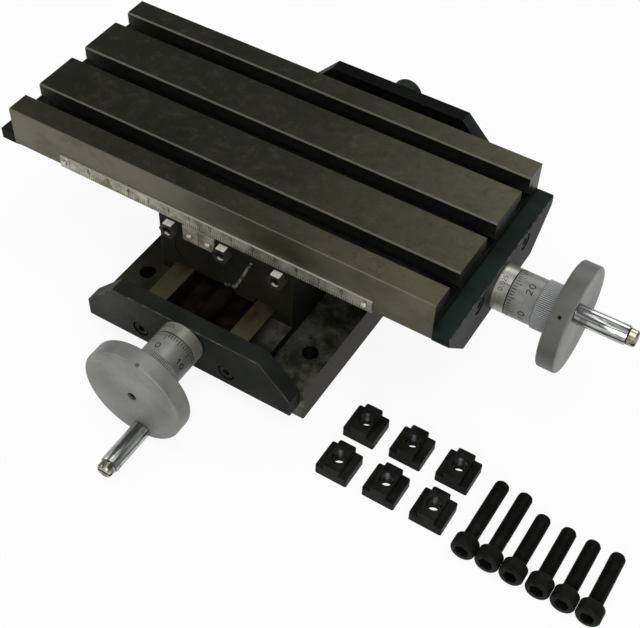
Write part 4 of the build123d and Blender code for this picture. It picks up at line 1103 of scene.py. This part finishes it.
def grip_line(line):
    """The screw's line, moved to the middle of the grip beside it, and the grip's radius."""
    middle = middle_mm(f"{line}_grip")
    origin = (x_seat, middle.y, middle.z) if line == "x" else (middle.x, y_seat, middle.z)
    return {**screw_lines[line], "origin": origin}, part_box(f"{line}_grip")[1].z / MM - middle.z


# %% The pieces on both lines
dial_tones = {"x": [(104, 105, 103), (136, 137, 134)], "y": [(124, 125, 120), (156, 157, 151)]}
# For each line: the body of its collar, the dial's turn, the number that stands there, and the index's angle.
as_shown = {"x": ("table", 111.5, 20, 123.5), "y": ("base", 100.0, 0, 118.0)}
for line, (body, turn, number, index_angle) in as_shown.items():
    axis, place = line.upper(), screw_lines[line]
    dial, collar, grip = f"{line}_dial", f"{line}_index_collar", f"{line}_grip"
    steel = dial_steel(axis, *dial_tones[line])
    add_piece(f"{line}_knurled_dial", placed(dial_shell(), **place), dial, "satin_steel", steel, dial)
    marks = placed(dial_marks(turn, number), **place)
    add_piece(f"{line}_dial_marks", marks, dial, "black_oxide", ink)
    shell = placed(collar_shell(), **place)
    add_piece(f"{line}_turned_collar", shell, body, "satin_steel", collar_steel[axis], collar)
    marks = placed(collar_marks(index_angle), **place)
    add_piece(f"{line}_collar_marks", marks, body, "black_oxide", ink)
    place, radius = grip_line(line)
    shell = placed(grip_shell(*heights_of(line, grip), radius), **place)
    add_piece(f"{line}_turned_grip", shell, grip, "chrome", chrome[axis], grip)

# %% [markdown]
# The rule is divided in millimetres along its lower edge and numbered in centimetres, from 7 at the left
# over 0 in the middle to 7 at the right. The pointer is one line on a small plate below it.

# %% Rule and pointer
RULE_SHIFT = 0.9
RULE_PEN = 0.24
HALF_RULE = 70


def flat_on_front(shell, middle_x, front_y, middle_z):
    """Lays (u, v, w) on a face that looks along -Y."""
    points, faces = shell
    place = np.column_stack([middle_x + points[:, 0], front_y - points[:, 2], middle_z + points[:, 1]])
    return place, faces


def rule_marks(height):
    """Millimetre lines from the lower edge, longer at fives and tens, and a number at each ten."""
    bottom = -height / 2
    shells = []
    for step in range(-HALF_RULE, HALF_RULE + 1):
        top = bottom + mark_length(step, 2.7, 2.1, 1.6)
        shells.append(line_mark(step, bottom + 0.1, top, RULE_PEN))
        if step % 10 == 0:
            points, faces = written(str(abs(step) // 10), width=1.3, height=2.1, gap=0.0, pen=0.36)
            shells.append((points + (step, height / 2 - 1.5, 0), faces))
    return joined(*shells)


def plate_and_height(node):
    """Where the middle of a plate's front face lies, and how high the plate is."""
    low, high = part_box(node)
    middle = middle_mm(node)
    return (middle.x, low.y / MM, middle.z), (high.z - low.z) / MM


(x, y, z), height = plate_and_height("rule")
marks = flat_on_front(rule_marks(height), x + RULE_SHIFT, y, z)
add_piece("rule_marks", marks, "table", "black_oxide", ink)
(x, y, z), height = plate_and_height("pointer_plate")
half = height / 2 - 0.2
marks = flat_on_front(line_mark(0, -half, half, LINE_PEN), x, y, z)
add_piece("pointer_mark", marks, "saddle", "black_oxide", ink)

# %% [markdown]
# The clamp screws lie on their heads and on the ends of their threads, so each leans a little. Their heads
# are knurled straight and have hexagon sockets. A socket head screw of this size has 24 mm of thread, so the
# short ones are threaded up to the head.

# %% Clamp screws
M6, M6_PITCH, M6_HEAD, M6_HEAD_HEIGHT, M6_KEY, M6_KEY_DEPTH = 6.0, 1.0, 9.7, 6.0, 5.0, 3.0
M6_TIP, M6_SHANK, THREADED = 3.2, 5.9, 24.0
HEADS_Y, SCREWS_X, SCREW_STEP = -104.0, 131.3, 9.9
SCREW_STRAYS = (0.0, -0.1, -0.2, 0.4, 0.3, 0.2)
SCREW_ROLL = 23.0


def socket_head(diameter, height, key, key_depth):
    """A head that stands on height 0: a straight knurl, a bevel, and a hexagon socket."""
    segments = 288
    radius = diameter / 2
    ridges = ridged_radii(radius, 0.09, 72, segments)
    flats = hexagon_radii(key, segments)
    return turned(
        segments, (0, 0), (0, radius - 0.45), (0.3, radius - 0.1), (0.45, ridges), (height - 0.8, ridges),
        (height - 0.6, radius - 0.1), (height - 0.1, radius - 0.5), (height, radius - 0.7),
        (height, flats + 0.12), (height - 0.12, flats), (height - key_depth, flats),
        (height - key_depth - 0.4, 0),
    )


def clamp_screw_shell(length):
    """A socket head screw that points down from height 0."""
    threaded = THREADED if length > THREADED + M6_PITCH else length
    shells = [lifted(thread(M6, M6_PITCH, threaded + 0.3, M6_TIP / 2), -length)]
    if length > threaded:
        low, radius = threaded - length, M6_SHANK / 2
        shells.append(turned(48, (low, 0), (low, radius), (0.3, radius), (0.3, 0)))
    shells.append(socket_head(M6_HEAD, M6_HEAD_HEIGHT, M6_KEY, M6_KEY_DEPTH))
    return joined(*shells)


def lying_clamp_screw(index, length):
    """One screw in its place in the row, leaning and rolled about its own line."""
    lean = math.atan((M6_HEAD - M6) / 2 / length)
    roll = math.radians(SCREW_ROLL * index)
    out = np.array([0.0, -math.cos(lean), math.sin(lean)])
    up = np.array([0.0, math.sin(lean), math.cos(lean)])
    x_axis = math.cos(roll) * np.cross(up, out) + math.sin(roll) * up
    x = SCREWS_X + index * SCREW_STEP + SCREW_STRAYS[index]
    origin = (x, HEADS_Y + M6_HEAD_HEIGHT, M6_HEAD / 2 * math.cos(lean))
    return placed(clamp_screw_shell(length), origin, x_axis, np.cross(out, x_axis), out)


for size, length, places in (("long", 30.0, range(2)), ("short", 25.0, range(2, 6))):
    screws = joined(*[lying_clamp_screw(index, length) for index in places])
    node = f"clamp_screws_{size}"
    add_piece(f"threaded_{node}", screws, "base", "black_oxide", oxide, node)

# %% [markdown]
# The T-nuts and the rims of both handwheels are tapped. A thin threaded sleeve in each hole shows this.

# %% Tapped holes
NUTS_X, NUTS_Y, COLUMN_STEP, ROW_STEP = 93.4, -82.3, 20.4, 20.8
COLUMN_STRAYS = (-0.8, 0.0, 0.1)
GRUB, GRUB_PITCH, GRUB_BACK, GRUB_END = 2.04, 0.4, 4.3, 12.2


def nut_places():
    """The feet of the six holes in the T-nuts: three columns, each a little out of line."""
    places = []
    for column, stray in enumerate(COLUMN_STRAYS):
        x = NUTS_X + (column - 1) * COLUMN_STEP
        places += [(x, NUTS_Y + row * ROW_STEP + stray, 0.05) for row in (-0.5, 0.5)]
    return places


def rim_thread(line, degrees):
    """The sleeve in a wheel's rim: it starts inside, and points away from the screw's line at an angle."""
    low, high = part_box(f"{line}_handwheel")
    length = (high.z - low.z) / 2 / MM - 0.15 - GRUB_END
    origin, across, up, along = [np.array(value, float) for value in screw_lines[line].values()]
    out = math.cos(math.radians(degrees)) * across + math.sin(math.radians(degrees)) * up
    wheel_end = heights_of(line, f"{line}_handwheel")[1]
    start = origin + along * (wheel_end - GRUB_BACK) + out * GRUB_END
    return placed(tapped_liner(GRUB, GRUB_PITCH, length), start, along, np.cross(out, along), out)


liner = tapped_liner(M6, M6_PITCH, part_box("t_nuts")[1].z / MM - 0.4)
liners = joined(*[placed(liner, place, (1, 0, 0), (0, 1, 0), (0, 0, 1)) for place in nut_places()])
add_piece("t_nut_threads", liners, "base", "black_oxide", tapped)
for line, degrees in (("x", 137.0), ("y", -100.0)):
    sleeve = rim_thread(line, degrees)
    add_piece(f"{line}_rim_thread", sleeve, f"{line}_screw", "blasted_aluminium", tapped_wheel)
